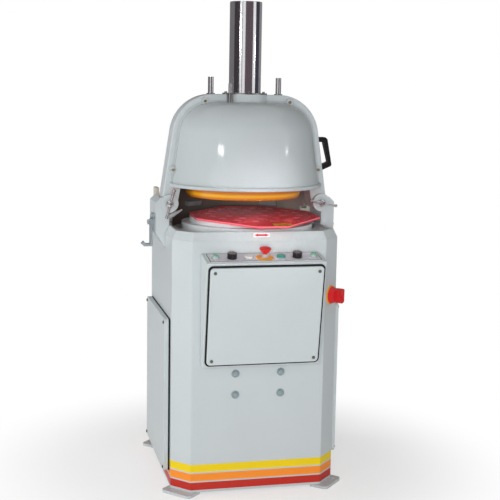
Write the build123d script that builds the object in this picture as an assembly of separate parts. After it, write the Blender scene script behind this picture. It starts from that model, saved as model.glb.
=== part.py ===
from build123d import *
import math
import os

# Automatic dough divider and rounder: a chamfered column with a control box, a casting with two
# cheeks, an orbiting table with its moulding plate, and a domed head that holds the press.
# Millimetres. The front faces -Y, +X is on the operator's right, +Z is up.
# The origin is on the floor, in the middle of the four foot holes.

# Gaps and fits
sheet_gap = 0.2
running_gap = 0.3
running_fit = 0.05

# Working size: the table, its orbit and the room around it
table_radius = 236.0
eccentricity = 18.0
crank_angle = -45.0
table_front_gap = 4.0
table_side_gap = 24.0
guard_gap = 4.0
hinge_room = 78.0

# Column and floor frame
column_top = 885.0
column_wall = 3.0
column_bend = 6.0
chamfer_x = 60.0
chamfer_y = 64.0
foot_thickness = 10.0
foot_length = 122.0
foot_reach = 34.0
foot_root = 30.0
foot_corner = 16.0
foot_hole_radius = 7.0
foot_hole_out = 16.0
foot_hole_along = 30.0
base_plate_thickness = 6.0

# Service covers on the sides and the rear cover
cover_length = 432.0
cover_height = 544.0
cover_thickness = 15.0
cover_sheet = 2.0
cover_corner = 12.0
gasket_thickness = 6.0
gasket_width = 12.0
left_cover_bottom = 61.0
right_cover_bottom = 98.0
cover_screw_inset = 13.0
rear_cover_width = 360.0
rear_cover_height = 480.0
rear_cover_bottom = 150.0
rear_cover_thickness = 3.0
louvre_count = 7
louvre_length = 180.0
louvre_height = 7.0
louvre_pitch = 24.0
louvre_top_margin = 70.0
screw_radius = 3.0
screw_head_radius = 5.5
screw_head_height = 4.0
screw_length = 12.0

# Control box, door and fascia
box_width = 410.0
box_top_drop = 40.0
box_height = 384.0
box_panel_fall = 18.0
box_top_depth = 104.5
box_bottom_depth = 47.0
box_wall = 2.5
box_bend = 4.0
box_flange = 20.0
door_side_margin = 6.0
door_top_margin = 9.0
door_bottom_margin = 8.5
door_gasket_thickness = 5.0
door_gasket_width = 14.0
door_gasket_show = 5.6
door_thickness = 7.0
door_corner = 16.0
door_edge = 3.0
door_screw_inset = 16.0
fascia_side_margin = 11.0
fascia_margin = 9.0
fascia_thickness = 1.5

# Controls, on one row across the fascia
control_end_margin = 26.0
control_stem_radius = 10.5
control_stem_length = 24.0
control_row_shift = 9.0
bezel_radius = 13.5
bezel_height = 8.0
lens_radius = 10.5
lens_height = 3.0
flat_bezel_radius = 16.0
flat_bezel_height = 3.0
button_travel = 2.0
flat_button_radius = 14.5
flat_button_height = 4.0
knob_radius = 16.0
knob_height = 20.0
knob_flutes = 16
estop_radius = 20.0
estop_head_height = 14.0
estop_collar_radius = 13.0
estop_collar_height = 14.0
estop_travel = 5.0
estop_disc_radius = 30.0
estop_disc_thickness = 1.5

# Main switch on the right front chamfer
switch_height = 686.0
switch_plate_size = 66.0
switch_plate_thickness = 4.0
switch_flange_radius = 30.0
switch_flange_height = 20.0
switch_grip_radius = 26.0
switch_grip_height = 22.0
switch_shaft_radius = 6.0

# Front bolts and the motor bracket that they hold
front_bolt_x = 80.0
front_bolt_drop = 34.5
front_bolt_pitch = 74.5
dome_head_radius = 11.0
dome_head_height = 8.0
dome_washer_radius = 14.0
dome_washer_thickness = 2.0
dome_shank_radius = 6.0
bracket_thickness = 8.0
bracket_margin = 22.0
bracket_reach = 190.0

# Drive
motor_offset = 105.0
motor_radius = 70.0
motor_flange = 160.0
motor_flange_thickness = 10.0
motor_shaft_radius = 12.0
terminal_rise = 30.0
terminal_height = 80.0
terminal_half_width = 40.0
motor_pulley_radius = 40.0
driven_pulley_radius = 80.0
pulley_width = 26.0
belt_width = 13.0
belt_thickness = 9.0
belt_side_gap = 0.5
pulley_above_motor = 20.0
shaft_radius = 20.0
bearing_radius = 36.0
bearing_width = 18.0
housing_wall = 9.0
housing_length = 145.0
housing_flange_radius = 75.0
housing_flange_thickness = 12.0
crank_pin_radius = 15.0
crank_web_thickness = 9.0
crank_web_margin = 6.0
counterweight_radius = 75.0
counterweight_thickness = 22.0
pulley_weight_gap = 21.5

# Hydraulic unit, electrical panel and cable gland
tank_width = 300.0
tank_depth = 210.0
tank_height = 150.0
tank_y = 120.0
pump_radius = 58.0
pump_height = 165.0
panel_width = 300.0
panel_height = 230.0
panel_thickness = 3.0
contactor_width = 52.0
contactor_height = 78.0
contactor_depth = 36.0
contactor_count = 4
gland_radius = 13.0
gland_length = 26.0
gland_bore = 5.0
gland_height = 90.0

# Top casting
shoulder_rise = 29.0
shoulder_inset_x = 14.0
shoulder_inset_y = 10.0
shoulder_cut = 5.0
apron_rim = 10.0
tray_depth = 22.0
deck_thickness = 14.0
cheek_bearing = 14.5
cheek_overhang = 33.5
cheek_front_reach = 59.0
cheek_depth = 145.0
cheek_height = 56.0
cheek_wall = 18.0
cheek_wall_rise = 23.0
cheek_wall_slope = 17.0
cheek_pad_drop = 50.0
cheek_taper = 51.0
cheek_edge = 5.0
lug_thickness = 15.5
tray_ledge_drop = 8.0
guard_sheet = 3.0
guard_height = 138.0
guard_rear_height = 90.0
guard_slope = 0.69
guard_front = 96.0
guard_wing_front = 70.0
guard_step = 70.0

# Clamp screws in the cheeks
clamp_radius = 8.0
clamp_rise = 20.0
clamp_boss_radius = 32.0
clamp_boss_proud = 5.0
clamp_nut_radius = 12.5
clamp_nut_length = 12.0
clamp_hub_radius = 9.0
clamp_seat_radius = 16.0
clamp_seat_depth = 4.0
clamp_bar_radius = 4.5
clamp_bar_length = 97.0
clamp_knob_length = 10.0
clamp_left_turn = 15.0
clamp_right_turn = 101.0

# Stop finger under the left clamp
finger_radius = 8.5
finger_tip_radius = 2.5
finger_root = 20.0
finger_neck = 14.0
finger_point = 40.0
finger_tilt = 28.0
finger_drop = 28.0
finger_set_back = 11.0

# Hook lever on the left cheek
lever_pivot_y = 38.0
lever_pivot_drop = 48.0
lever_pivot_radius = 6.0
lever_plate_thickness = 6.0
lever_plate_length = 72.0
lever_plate_height = 66.0
lever_arm_width = 25.0
lever_arm_thickness = 9.0
lever_arm_length = 86.0
lever_foot_length = 22.0
lever_tip_length = 9.0
lever_head_radius = 9.0
lever_head_height = 8.0

# Head hinge at the rear
hinge_back = 177.0
hinge_pin_radius = 9.0
hinge_eye_radius = 21.0
hinge_arm_width = 21.0
hinge_arm_height = 34.0
hinge_lug_thickness = 8.0
hinge_outer_lug_thickness = 13.0
hinge_lug_depth = 58.0
hinge_lug_rise = 57.0
hinge_arm_set = 5.0

# Head arch
leg_side_gap = 1.8
leg_width = 57.0
arch_height = 403.0
arch_taper = 61.0
arch_corner = 148.0
arch_depth = 84.0
arch_edge = 6.0
beam_height = 60.0

# Hoods
hood_rise = 79.0
hood_top_drop = 28.0
hood_wall = 4.0
hood_guard_gap = 6.0
hood_bead = 10.0
hood_bead_height = 13.0
hood_bead_round = 4.0
hood_taper = 40.0
hood_corner = 118.0
hood_lip_width = 7.0
hood_lip_thickness = 4.0
hood_ear_radius = 13.0
hood_ear_thickness = 12.0
hood_ear_upper_x = 153.0
hood_ear_upper_rise = 3.0
hood_ear_lower_rise = 59.0
hood_ear_lower_out = 5.0

# Press tube and rods
tube_radius = 57.0
tube_wall = 5.0
tube_height = 322.0
tube_boss_radius = 82.0
tube_boss_drop = 28.0
flange_radius = 80.0
flange_thickness = 5.0
flange_bolt_radius = 5.0
flange_bolt_circle = 69.0
guide_rod_x = 123.5
guide_rod_radius = 10.0
guide_rod_show = 60.0
bush_wall = 5.0
bush_proud = 3.0
indicator_x = -68.0
indicator_y = -70.0
indicator_radius = 6.5
indicator_show = 32.0
sleeve_wall = 4.5
sleeve_height = 33.0

# Bow handle on the right leg
bow_rise = 132.0
bow_length = 122.0
bow_standoff = 42.0
bow_thickness = 15.0
bow_width = 24.0
bow_round = 8.0

# Pressing ring, press plate, piston and knives
ring_set_in = 22.0
ring_width = 18.0
ring_drop = 38.0
ring_height = 50.0
ring_taper = 13.0
ring_lip_round = 4.0
carrier_set_in = 6.0
carrier_wall = 6.0
carrier_rise = 79.0
carrier_plate = 10.0
carrier_hole = 110.0
ring_travel = 28.0
press_gap = 4.0
press_recess = 1.0
press_thickness = 45.0
press_skin = 8.0
press_travel = 56.0
rod_radius = 18.0
rod_length = 465.0
piston_thickness = 30.0
knife_thickness = 2.0
knife_slot_gap = 0.6
knife_height = 32.0
knife_set_up = 3.0
knife_rings = (72.0, 133.0)
knife_counts = (4, 10, 16)
knife_outer_gap = 4.0
knife_travel = 25.0
knife_post_radius = 5.0
knife_post_circle = 45.0
knife_hub_radius = 60.0
knife_hub_thickness = 10.0
knife_hub_gap = 30.0

# Table, moulding plate and the plate's stops
table_thickness = 15.0
table_over_tray = 13.0
table_skirt_gap = 3.0
table_skirt_wall = 10.0
table_edge_round = 2.0
table_hub_radius = 34.0
table_seat_set_in = 28.0
table_wall = 14.0
plate_lift = 19.0
plate_set_in = 11.0
plate_side_front = 80.0
plate_side_rear = 66.0
plate_tongue = 53.0
plate_front_half = 53.0
plate_corner = 5.0
plate_edge = 1.2
plate_thickness = 7.0
plate_tilt = 1.9
plate_shift_x = 22.3
plate_shift_y = -15.3
stop_angle = 36.0
stop_width = 70.0
stop_depth = 20.0
stop_height = 16.0
stop_rise = 64.0
dimple_circles = (43.0, 104.0, 164.0)
dimple_radius = 17.0
dimple_depth = 3.0
plate_groove_radius = 201.0
plate_groove_width = 3.0
plate_groove_depth = 1.5

# Places worked out from the sizes above
table_reach = table_radius + eccentricity
cheek_inner = table_reach + table_side_gap
half_width = cheek_inner + cheek_bearing
cheek_outer = half_width + cheek_overhang
front_room = table_reach + table_front_gap + apron_rim + shoulder_inset_y
rear_room = table_reach + hinge_room
half_depth = (front_room + rear_room) / 2
press_y = (front_room - rear_room) / 2
front_y = -half_depth
rear_y = half_depth

rim_top = column_top + shoulder_rise
tray_floor = rim_top - tray_depth
deck_bottom = tray_floor - deck_thickness
leg_seat = rim_top + cheek_height
arch_top = leg_seat + arch_height
hood_bottom = leg_seat + hood_rise
hood_top = arch_top - hood_top_drop
guard_inner = table_reach + guard_gap
guard_outer = guard_inner + guard_sheet

crank_x = eccentricity * math.cos(math.radians(crank_angle))
crank_y = press_y + eccentricity * math.sin(math.radians(crank_angle))
table_bottom = tray_floor + table_over_tray
table_top = table_bottom + table_thickness
table_seat_radius = table_radius - table_seat_set_in

cheek_front = press_y - cheek_front_reach
clamp_x = cheek_inner
clamp_z = leg_seat + clamp_rise
lever_y = cheek_front + lever_pivot_y
lever_z = leg_seat - lever_pivot_drop
hinge_y = press_y + hinge_back
hinge_z = leg_seat
arm_outer = cheek_inner + hinge_arm_set
arm_inner = arm_outer - hinge_arm_width

arch_front = press_y - arch_depth / 2
arch_rear = press_y + arch_depth / 2
leg_outer = cheek_outer - cheek_wall - leg_side_gap
leg_bottom = leg_seat + running_gap
arch_shoulder = leg_outer - arch_taper

ring_outer = table_radius - ring_set_in
ring_inner = ring_outer - ring_width
ring_bottom = hood_bottom - ring_drop
ring_top = ring_bottom + ring_height
carrier_bottom = ring_top + carrier_rise
carrier_top = carrier_bottom + carrier_plate
press_radius = ring_inner - press_gap
press_bottom = hood_bottom - press_recess
press_top = press_bottom + press_thickness
guide_rod_top = arch_top + guide_rod_show
knife_bottom = press_bottom + knife_set_up
knife_top = knife_bottom + knife_height
knife_hub_bottom = press_top + knife_hub_gap

box_back_top = column_top - box_top_drop
box_bottom = box_back_top - box_height
box_front_top = box_back_top - box_panel_fall
fascia_width = box_width - 2 * fascia_side_margin
control_pitch = (fascia_width - 2 * control_end_margin) / 6
front_bolt_low = box_bottom - front_bolt_drop - front_bolt_pitch

shaft_bottom_gap = 10.0
bracket_top = front_bolt_low + front_bolt_pitch + bracket_margin
motor_y = press_y - motor_offset - driven_pulley_radius
housing_bottom = deck_bottom - housing_length
pulley_top = housing_bottom - shaft_bottom_gap - counterweight_thickness - pulley_weight_gap
pulley_bottom = pulley_top - pulley_width
motor_top = pulley_bottom - pulley_above_motor
shaft_bottom = pulley_bottom - shaft_bottom_gap
web_bottom = tray_floor + running_gap
web_top = web_bottom + crank_web_thickness
crank_pin_top = table_bottom + table_thickness / 2


def block(x0, x1, y0, y1, z0, z1):
    """A box between two corners."""
    middle = Pos((x0 + x1) / 2, (y0 + y1) / 2, (z0 + z1) / 2)
    return middle * Box(abs(x1 - x0), abs(y1 - y0), abs(z1 - z0))


def post(radius, x, y, z0, z1):
    """An upright round bar."""
    return Pos(x, y, (z0 + z1) / 2) * Cylinder(radius, z1 - z0)


def collar(outer, inner, x, y, z0, z1):
    """An upright round tube."""
    return post(outer, x, y, z0, z1) - post(inner, x, y, z0 - 1, z1 + 1)


def bar_x(radius, x0, x1, y, z):
    """A round bar along X."""
    return Pos((x0 + x1) / 2, y, z) * Rot(0, 90, 0) * Cylinder(radius, abs(x1 - x0))


def bar_y(radius, y0, y1, x, z):
    """A round bar along Y."""
    return Pos(x, (y0 + y1) / 2, z) * Rot(90, 0, 0) * Cylinder(radius, abs(y1 - y0))


def upright(points, z0, z1):
    """A flat outline in XY, drawn up from z0 to z1."""
    return extrude(Pos(0, 0, z0) * Polygon(*points, align=None), z1 - z0, dir=(0, 0, 1))


def along_y(points, y0, y1):
    """A flat outline in XZ, drawn along Y."""
    return extrude(Plane.XZ.offset(-y0) * Polygon(*points, align=None), y1 - y0, dir=(0, 1, 0))


def along_x(points, x0, x1):
    """A flat outline in YZ, drawn along X."""
    return extrude(Plane.YZ.offset(x0) * Polygon(*points, align=None), x1 - x0, dir=(1, 0, 0))


def octagon(half_x, half_y, cut_x, cut_y):
    """Corner points of a rectangle with cut corners."""
    return [
        (half_x, -half_y + cut_y),
        (half_x, half_y - cut_y),
        (half_x - cut_x, half_y),
        (-half_x + cut_x, half_y),
        (-half_x, half_y - cut_y),
        (-half_x, -half_y + cut_y),
        (-half_x + cut_x, -half_y),
        (half_x - cut_x, -half_y),
    ]


def column_outline(inset=0.0):
    """The column's eight corners, moved in by a wall."""
    return octagon(half_width - inset, half_depth - inset, chamfer_x - inset / 2, chamfer_y - inset / 2)


def mirrored(shape):
    """The same shape on the other side of the middle plane."""
    return mirror(shape, about=Plane.YZ)


def both_sides(shape):
    return shape + mirrored(shape)


def as_group(shapes):
    """Separate solids kept together as one node."""
    solids = []
    for shape in shapes:
        solids.extend(shape.solids())
    return Compound(children=solids)


def rounded_plate(width, height, corner, thickness):
    """A rounded rectangle, its back on the XY plane."""
    return extrude(RectangleRounded(width, height, corner), thickness)


# Local planes: chamfer on the right front, leaning door face, sloping control panel
chamfer_length = math.hypot(chamfer_x, chamfer_y)
chamfer_out = (chamfer_y / chamfer_length, chamfer_x / chamfer_length)
chamfer_mid = (half_width - chamfer_x / 2, half_depth - chamfer_y / 2)
switch_plane = Plane(
    origin=(chamfer_mid[0], -chamfer_mid[1], switch_height),
    x_dir=(chamfer_out[1], chamfer_out[0], 0),
    z_dir=(chamfer_out[0], -chamfer_out[1], 0),
)
door_run = box_front_top - box_bottom
door_lean = box_top_depth - box_bottom_depth
door_length = math.hypot(door_run, door_lean)
door_plane = Plane(
    origin=(0, front_y - (box_top_depth + box_bottom_depth) / 2, (box_front_top + box_bottom) / 2),
    x_dir=(1, 0, 0),
    z_dir=(0, -door_run / door_length, -door_lean / door_length),
)
panel_length = math.hypot(box_top_depth, box_panel_fall)
panel_plane = Plane(
    origin=(0, front_y - box_top_depth / 2, box_back_top - box_panel_fall / 2),
    x_dir=(1, 0, 0),
    z_dir=(0, -box_panel_fall / panel_length, box_top_depth / panel_length),
)
control_place = panel_plane * Pos(0, -control_row_shift, 0)
fascia_depth = panel_length - 2 * fascia_margin
control_x = [control_pitch * step for step in (-3, -2, -1, 0, 1, 2, 3)]
gasket_width_out = box_width - 2 * door_side_margin
gasket_height_out = door_length - door_top_margin - door_bottom_margin
gasket_shift = (door_bottom_margin - door_top_margin) / 2
foot_hole_x = chamfer_mid[0] + foot_hole_out * chamfer_out[0] + foot_hole_along * chamfer_out[1]
foot_hole_y = chamfer_mid[1] + foot_hole_out * chamfer_out[1] - foot_hole_along * chamfer_out[0]


def foot(sign_x, sign_y):
    """One floor ear across a chamfered corner, with its bolt hole."""
    turn = math.degrees(math.atan2(chamfer_out[1], chamfer_out[0]))
    plate = block(-foot_root, foot_reach, -foot_length / 2, foot_length / 2, 0, foot_thickness)
    outer_edges = plate.edges().filter_by(Axis.Z).sort_by(Axis.X)[-2:]
    plate = fillet(outer_edges, foot_corner)
    plate = Pos(chamfer_mid[0], chamfer_mid[1], 0) * Rot(0, 0, turn) * plate
    plate -= post(foot_hole_radius, foot_hole_x, foot_hole_y, -1, foot_thickness + 1)
    if sign_x < 0:
        plate = mirror(plate, about=Plane.YZ)
    if sign_y < 0:
        plate = mirror(plate, about=Plane.XZ)
    return plate


def base_frame():
    """Base plate inside the column, with the four floor ears under it."""
    frame = upright(
        column_outline(column_wall + sheet_gap), foot_thickness, foot_thickness + base_plate_thickness
    )
    for sign_x in (-1, 1):
        for sign_y in (-1, 1):
            frame += foot(sign_x, sign_y)
    return frame


def side_cover_screw_places(bottom):
    """Y and Z of the four screws of a side cover."""
    half = cover_length / 2 - cover_screw_inset
    low = bottom + cover_screw_inset
    high = bottom + cover_height - cover_screw_inset
    return [(-half, low), (half, low), (-half, high), (half, high)]


def rear_cover_screw_places():
    """X and Z of the four screws of the rear cover."""
    half = rear_cover_width / 2 - cover_screw_inset
    low = rear_cover_bottom + cover_screw_inset
    high = rear_cover_bottom + rear_cover_height - cover_screw_inset
    return [(-half, low), (half, low), (-half, high), (half, high)]


def front_bolt_places():
    """X and Z of the four dome bolts on the front."""
    places = []
    for x in (-front_bolt_x, front_bolt_x):
        for row in (0, 1):
            places.append((x, front_bolt_low + row * front_bolt_pitch))
    return places


def column_housing():
    """Folded sheet column with its service openings."""
    shell = upright(column_outline(), foot_thickness, column_top)
    shell = fillet(shell.edges().filter_by(Axis.Z), column_bend)
    shell -= upright(column_outline(column_wall), foot_thickness - 1, column_top + 1)
    opening = cover_length / 2 - 2 * cover_screw_inset - gasket_width
    edge = 2 * cover_screw_inset + gasket_width
    for side, bottom in ((-1, left_cover_bottom), (1, right_cover_bottom)):
        inner = side * (half_width - column_wall - 1)
        outer = side * (half_width + 1)
        shell -= block(inner, outer, -opening, opening, bottom + edge, bottom + cover_height - edge)
        for y, z in side_cover_screw_places(bottom):
            shell -= bar_x(screw_radius + sheet_gap, inner, outer, y, z)
    rear_half = rear_cover_width / 2 - 2 * cover_screw_inset
    rear_low = rear_cover_bottom + 2 * cover_screw_inset
    rear_high = rear_cover_bottom + rear_cover_height - 2 * cover_screw_inset
    shell -= block(-rear_half, rear_half, rear_y - column_wall - 1, rear_y + 1, rear_low, rear_high)
    for x, z in rear_cover_screw_places():
        shell -= bar_y(screw_radius + sheet_gap, rear_y - column_wall - 1, rear_y + 1, x, z)
    for x, z in front_bolt_places():
        shell -= bar_y(dome_shank_radius + sheet_gap, front_y - 1, front_y + column_wall + 1, x, z)
    shell -= bar_y(gland_radius * 0.6 + sheet_gap, rear_y - column_wall - 1, rear_y + 1, 0, gland_height)
    shell -= switch_plane * Cylinder(switch_shaft_radius + 2, 6 * column_wall)
    return shell


def side_cover(side, bottom):
    """Pressed lid over a service opening, standing on its gasket."""
    lid = rounded_plate(cover_length, cover_height, cover_corner, cover_thickness)
    lid = fillet(lid.faces().sort_by(Axis.Z)[-1].edges(), cover_sheet)
    hollow = rounded_plate(
        cover_length - 2 * cover_sheet,
        cover_height - 2 * cover_sheet,
        cover_corner - cover_sheet,
        cover_thickness - cover_sheet,
    )
    lid -= hollow
    half_y = cover_length / 2 - cover_screw_inset
    half_z = cover_height / 2 - cover_screw_inset
    for y in (-half_y, half_y):
        for z in (-half_z, half_z):
            spacer = post(screw_head_radius, y, z, 0, cover_thickness - cover_sheet / 2)
            lid += spacer
    for y in (-half_y, half_y):
        for z in (-half_z, half_z):
            lid -= post(screw_radius + sheet_gap, y, z, -1, cover_thickness + 1)
    seat = Plane(
        origin=(side * (half_width + gasket_thickness), 0, bottom + cover_height / 2),
        x_dir=(0, side, 0),
        z_dir=(side, 0, 0),
    )
    return seat * lid


def cover_gasket(side, bottom):
    """Flat rubber frame between a side cover and the column."""
    strip = rounded_plate(cover_length, cover_height, cover_corner, gasket_thickness)
    inset = gasket_width + 2 * cover_screw_inset
    strip -= block(
        -cover_length / 2 + inset,
        cover_length / 2 - inset,
        -cover_height / 2 + inset,
        cover_height / 2 - inset,
        -1,
        gasket_thickness + 1,
    )
    for y in (-1, 1):
        for z in (-1, 1):
            y_place = y * (cover_length / 2 - cover_screw_inset)
            z_place = z * (cover_height / 2 - cover_screw_inset)
            strip -= post(screw_radius + sheet_gap, y_place, z_place, -1, gasket_thickness + 1)
    seat = Plane(
        origin=(side * half_width, 0, bottom + cover_height / 2),
        x_dir=(0, side, 0),
        z_dir=(side, 0, 0),
    )
    return seat * strip


def pan_screw(grip):
    """Pan-head screw with its head's seat on the XY plane, shank down."""
    head = Pos(0, 0, screw_head_height / 2) * Cylinder(screw_head_radius, screw_head_height)
    head = fillet(head.faces().sort_by(Axis.Z)[-1].edges(), screw_head_height * 0.45)
    head -= Pos(0, 0, screw_head_height) * Box(2 * screw_head_radius, 1.2, 2.4)
    return head + post(screw_radius, 0, 0, -grip, 0.1)


def housing_screws():
    """All the screws of the side covers, the rear cover and the control door."""
    screws = []
    stack = gasket_thickness + cover_thickness
    for side, bottom in ((-1, left_cover_bottom), (1, right_cover_bottom)):
        for y, z in side_cover_screw_places(bottom):
            seat = Plane(
                origin=(side * (half_width + stack), y, z), x_dir=(0, side, 0), z_dir=(side, 0, 0)
            )
            screws.append(seat * pan_screw(stack + screw_length))
    for x, z in rear_cover_screw_places():
        seat = Plane(origin=(x, rear_y + rear_cover_thickness, z), x_dir=(-1, 0, 0), z_dir=(0, 1, 0))
        screws.append(seat * pan_screw(rear_cover_thickness + screw_length))
    stack = door_gasket_thickness + door_thickness
    for u, v in door_screw_places():
        screws.append(door_plane * Pos(u, v, stack) * pan_screw(stack + screw_length))
    return as_group(screws)


def rear_cover():
    """Flat rear cover with cooling louvres."""
    top = rear_cover_bottom + rear_cover_height
    half = rear_cover_width / 2
    plate = block(-half, half, rear_y, rear_y + rear_cover_thickness, rear_cover_bottom, top)
    plate = fillet(plate.edges().filter_by(Axis.Y), cover_corner)
    for row in range(louvre_count):
        z = top - louvre_top_margin - row * louvre_pitch
        plate -= block(
            -louvre_length / 2,
            louvre_length / 2,
            rear_y - 1,
            rear_y + rear_cover_thickness + 1,
            z,
            z + louvre_height,
        )
    for x, z in rear_cover_screw_places():
        plate -= bar_y(screw_radius + sheet_gap, rear_y - 1, rear_y + rear_cover_thickness + 1, x, z)
    return plate


def cable_gland():
    """Cable inlet low on the rear wall."""
    out = rear_y + gland_length
    body = bar_y(gland_radius, rear_y, rear_y + gland_length * 0.6, 0, gland_height)
    body += bar_y(gland_radius * 0.8, rear_y, out, 0, gland_height)
    body += bar_y(gland_radius * 0.6, rear_y - column_wall - gland_length * 0.4, out, 0, gland_height)
    return body - bar_y(gland_bore, rear_y - gland_length, out + 1, 0, gland_height)


def box_profile(inset):
    """Side outline of the control box in Y and Z, moved in by a wall."""
    lean = door_lean / door_run * inset
    fall = box_panel_fall / box_top_depth * inset
    return [
        (front_y - inset, box_bottom + inset),
        (front_y - inset, box_back_top - inset - fall),
        (front_y - box_top_depth + inset, box_front_top - inset + fall),
        (front_y - box_bottom_depth + inset - lean, box_bottom + inset),
    ]


def control_box():
    """Wedge-shaped control box, open at the front behind the door."""
    half = box_width / 2
    box = along_x(box_profile(0), -half, half)
    front_edges = [edge for edge in box.edges() if edge.center().Y < front_y - 1]
    box = fillet(front_edges, box_bend)
    box -= along_x(box_profile(box_wall), -half + box_wall, half - box_wall)
    mouth = Box(box_width - 2 * box_flange, door_length - 2 * box_flange, 4 * box_wall)
    box -= door_plane * mouth
    for x in control_x:
        box -= control_place * Pos(x, 0, 0) * Cylinder(control_stem_radius + sheet_gap, 4 * box_wall)
    for u, v in door_screw_places():
        box -= door_plane * Pos(u, v, 0) * Cylinder(screw_radius + sheet_gap, 4 * box_wall)
    return box


def door_screw_places():
    """Places of the four door screws in the door's own plane."""
    half_u = gasket_width_out / 2 - door_gasket_show - door_screw_inset
    half_v = gasket_height_out / 2 - door_gasket_show - door_screw_inset
    places = []
    for u in (-half_u, half_u):
        for v in (gasket_shift - half_v, gasket_shift + half_v):
            places.append((u, v))
    return places


def door_gasket():
    """Black rubber frame between the door and the box."""
    strip = rounded_plate(gasket_width_out, gasket_height_out, door_corner, door_gasket_thickness)
    strip -= block(
        -gasket_width_out / 2 + door_gasket_width,
        gasket_width_out / 2 - door_gasket_width,
        -gasket_height_out / 2 + door_gasket_width,
        gasket_height_out / 2 - door_gasket_width,
        -1,
        door_gasket_thickness + 1,
    )
    return door_plane * Pos(0, gasket_shift, 0) * strip


def control_door():
    """Leaning door, a shallow pressed lid."""
    width = gasket_width_out - 2 * door_gasket_show
    height = gasket_height_out - 2 * door_gasket_show
    lid = rounded_plate(width, height, door_corner - door_edge, door_thickness)
    lid = fillet(lid.faces().sort_by(Axis.Z)[-1].edges(), door_edge)
    hollow_inset = 2 * (door_gasket_width - door_gasket_show)
    lid -= block(
        -width / 2 + hollow_inset,
        width / 2 - hollow_inset,
        -height / 2 + hollow_inset,
        height / 2 - hollow_inset,
        -1,
        door_thickness - cover_sheet,
    )
    lid = door_plane * Pos(0, gasket_shift, door_gasket_thickness) * lid
    for u, v in door_screw_places():
        reach = door_gasket_thickness + door_thickness
        lid -= door_plane * Pos(u, v, reach / 2) * Cylinder(screw_radius + sheet_gap, 2 * reach)
    return lid


def control_fascia():
    """Thin printed plate on the sloping panel."""
    plate = rounded_plate(fascia_width, fascia_depth, 3 * fascia_thickness, fascia_thickness)
    for x in control_x:
        hole = Cylinder(control_stem_radius + sheet_gap, 6 * fascia_thickness)
        plate -= Pos(x, -control_row_shift, 0) * hole
    return panel_plane * plate


def on_panel(x, shape):
    """Puts a control on the fascia, its axis square to the panel."""
    return control_place * Pos(x, 0, fascia_thickness) * shape


def bezel(outer, inner, height):
    ring = Pos(0, 0, height / 2) * Cylinder(outer, height)
    ring = chamfer(ring.faces().sort_by(Axis.Z)[-1].edges(), height * 0.3)
    return ring - Pos(0, 0, height / 2) * Cylinder(inner, 2 * height)


def estop_collar():
    """Chrome collar that guides the mushroom's stem."""
    z0 = estop_disc_thickness
    ring = post(estop_collar_radius, 0, 0, z0, z0 + estop_collar_height)
    ring = chamfer(ring.faces().sort_by(Axis.Z)[-1].edges(), 2)
    ring += post(control_stem_radius, 0, 0, -control_stem_length * 0.6, z0 + 0.1)
    bore = estop_collar_radius * 0.55 + running_fit
    ring -= post(bore, 0, 0, -control_stem_length, z0 + 2 * estop_collar_height)
    return on_panel(control_x[3], ring)


def button_bezels():
    """Chrome bezels of the buttons, and the emergency stop's collar."""
    rings = [estop_collar()]
    for x in (control_x[0], control_x[6]):
        rings.append(on_panel(x, bezel(bezel_radius, lens_radius + running_fit, bezel_height)))
    for x in (control_x[2], control_x[4]):
        bore = flat_button_radius + running_fit
        rings.append(on_panel(x, bezel(flat_bezel_radius, bore, flat_bezel_height)))
    return as_group(rings)


def control_stem(length):
    """Body of a control behind the panel, free in its hole."""
    return post(control_stem_radius - running_gap, 0, 0, -length, running_gap + 0.5)


def lit_button(x):
    """Domed green start button in a bezel."""
    face = bezel_height + lens_height
    lens = post(lens_radius, 0, 0, 0, face)
    lens = fillet(lens.faces().sort_by(Axis.Z)[-1].edges(), lens_height * 0.9)
    lens = Pos(0, 0, button_travel + running_gap) * lens
    return on_panel(x, lens + control_stem(control_stem_length) + post(lens_radius / 2, 0, 0, 0, face))


def flat_button(x):
    """Low round push button."""
    face = flat_bezel_height + flat_button_height
    seat = button_travel + running_gap
    cap = post(flat_button_radius, 0, 0, seat, seat + face)
    cap = fillet(cap.faces().sort_by(Axis.Z)[-1].edges(), flat_button_height * 0.45)
    return on_panel(x, cap + control_stem(control_stem_length) + post(lens_radius / 2, 0, 0, 0, face))


def timer_knob(x):
    """Fluted timer knob with a pointer notch."""
    knob = post(knob_radius, 0, 0, running_gap, knob_height)
    knob = chamfer(knob.faces().sort_by(Axis.Z)[-1].edges(), 1.5)
    for step in range(knob_flutes):
        angle = math.radians(360 * step / knob_flutes)
        knob -= post(
            1.6, knob_radius * math.cos(angle), knob_radius * math.sin(angle), 5, knob_height + 1
        )
    knob -= block(-0.8, 0.8, knob_radius * 0.3, knob_radius + 1, knob_height - 1, knob_height + 1)
    return on_panel(x, knob + control_stem(control_stem_length))


def estop_button():
    """Red mushroom head on its stem."""
    z0 = estop_disc_thickness + estop_collar_height + estop_travel + running_gap
    flare = estop_head_height * 0.7
    rim = estop_head_height - flare
    head = Pos(0, 0, z0 + flare / 2) * Cone(estop_radius * 0.66, estop_radius, flare)
    head += Pos(0, 0, z0 + flare + rim / 2) * Cylinder(estop_radius, rim)
    head = fillet(head.faces().sort_by(Axis.Z)[-1].edges(), rim * 0.7)
    stem = post(estop_collar_radius * 0.55, 0, 0, -control_stem_length, z0 + 1)
    return on_panel(control_x[3], head + stem)


def estop_disc():
    """Yellow disc round the emergency stop."""
    disc = Pos(0, 0, estop_disc_thickness / 2) * Cylinder(estop_disc_radius, estop_disc_thickness)
    disc -= Cylinder(control_stem_radius + sheet_gap, 6 * estop_disc_thickness)
    return on_panel(control_x[3], disc)


def main_switch_plate():
    """Round yellow backing plate of the main switch."""
    plate = post(switch_plate_size / 2, 0, 0, 0, switch_plate_thickness)
    plate -= Cylinder(switch_shaft_radius + running_fit, 6 * switch_plate_thickness)
    return switch_plane * plate


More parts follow.
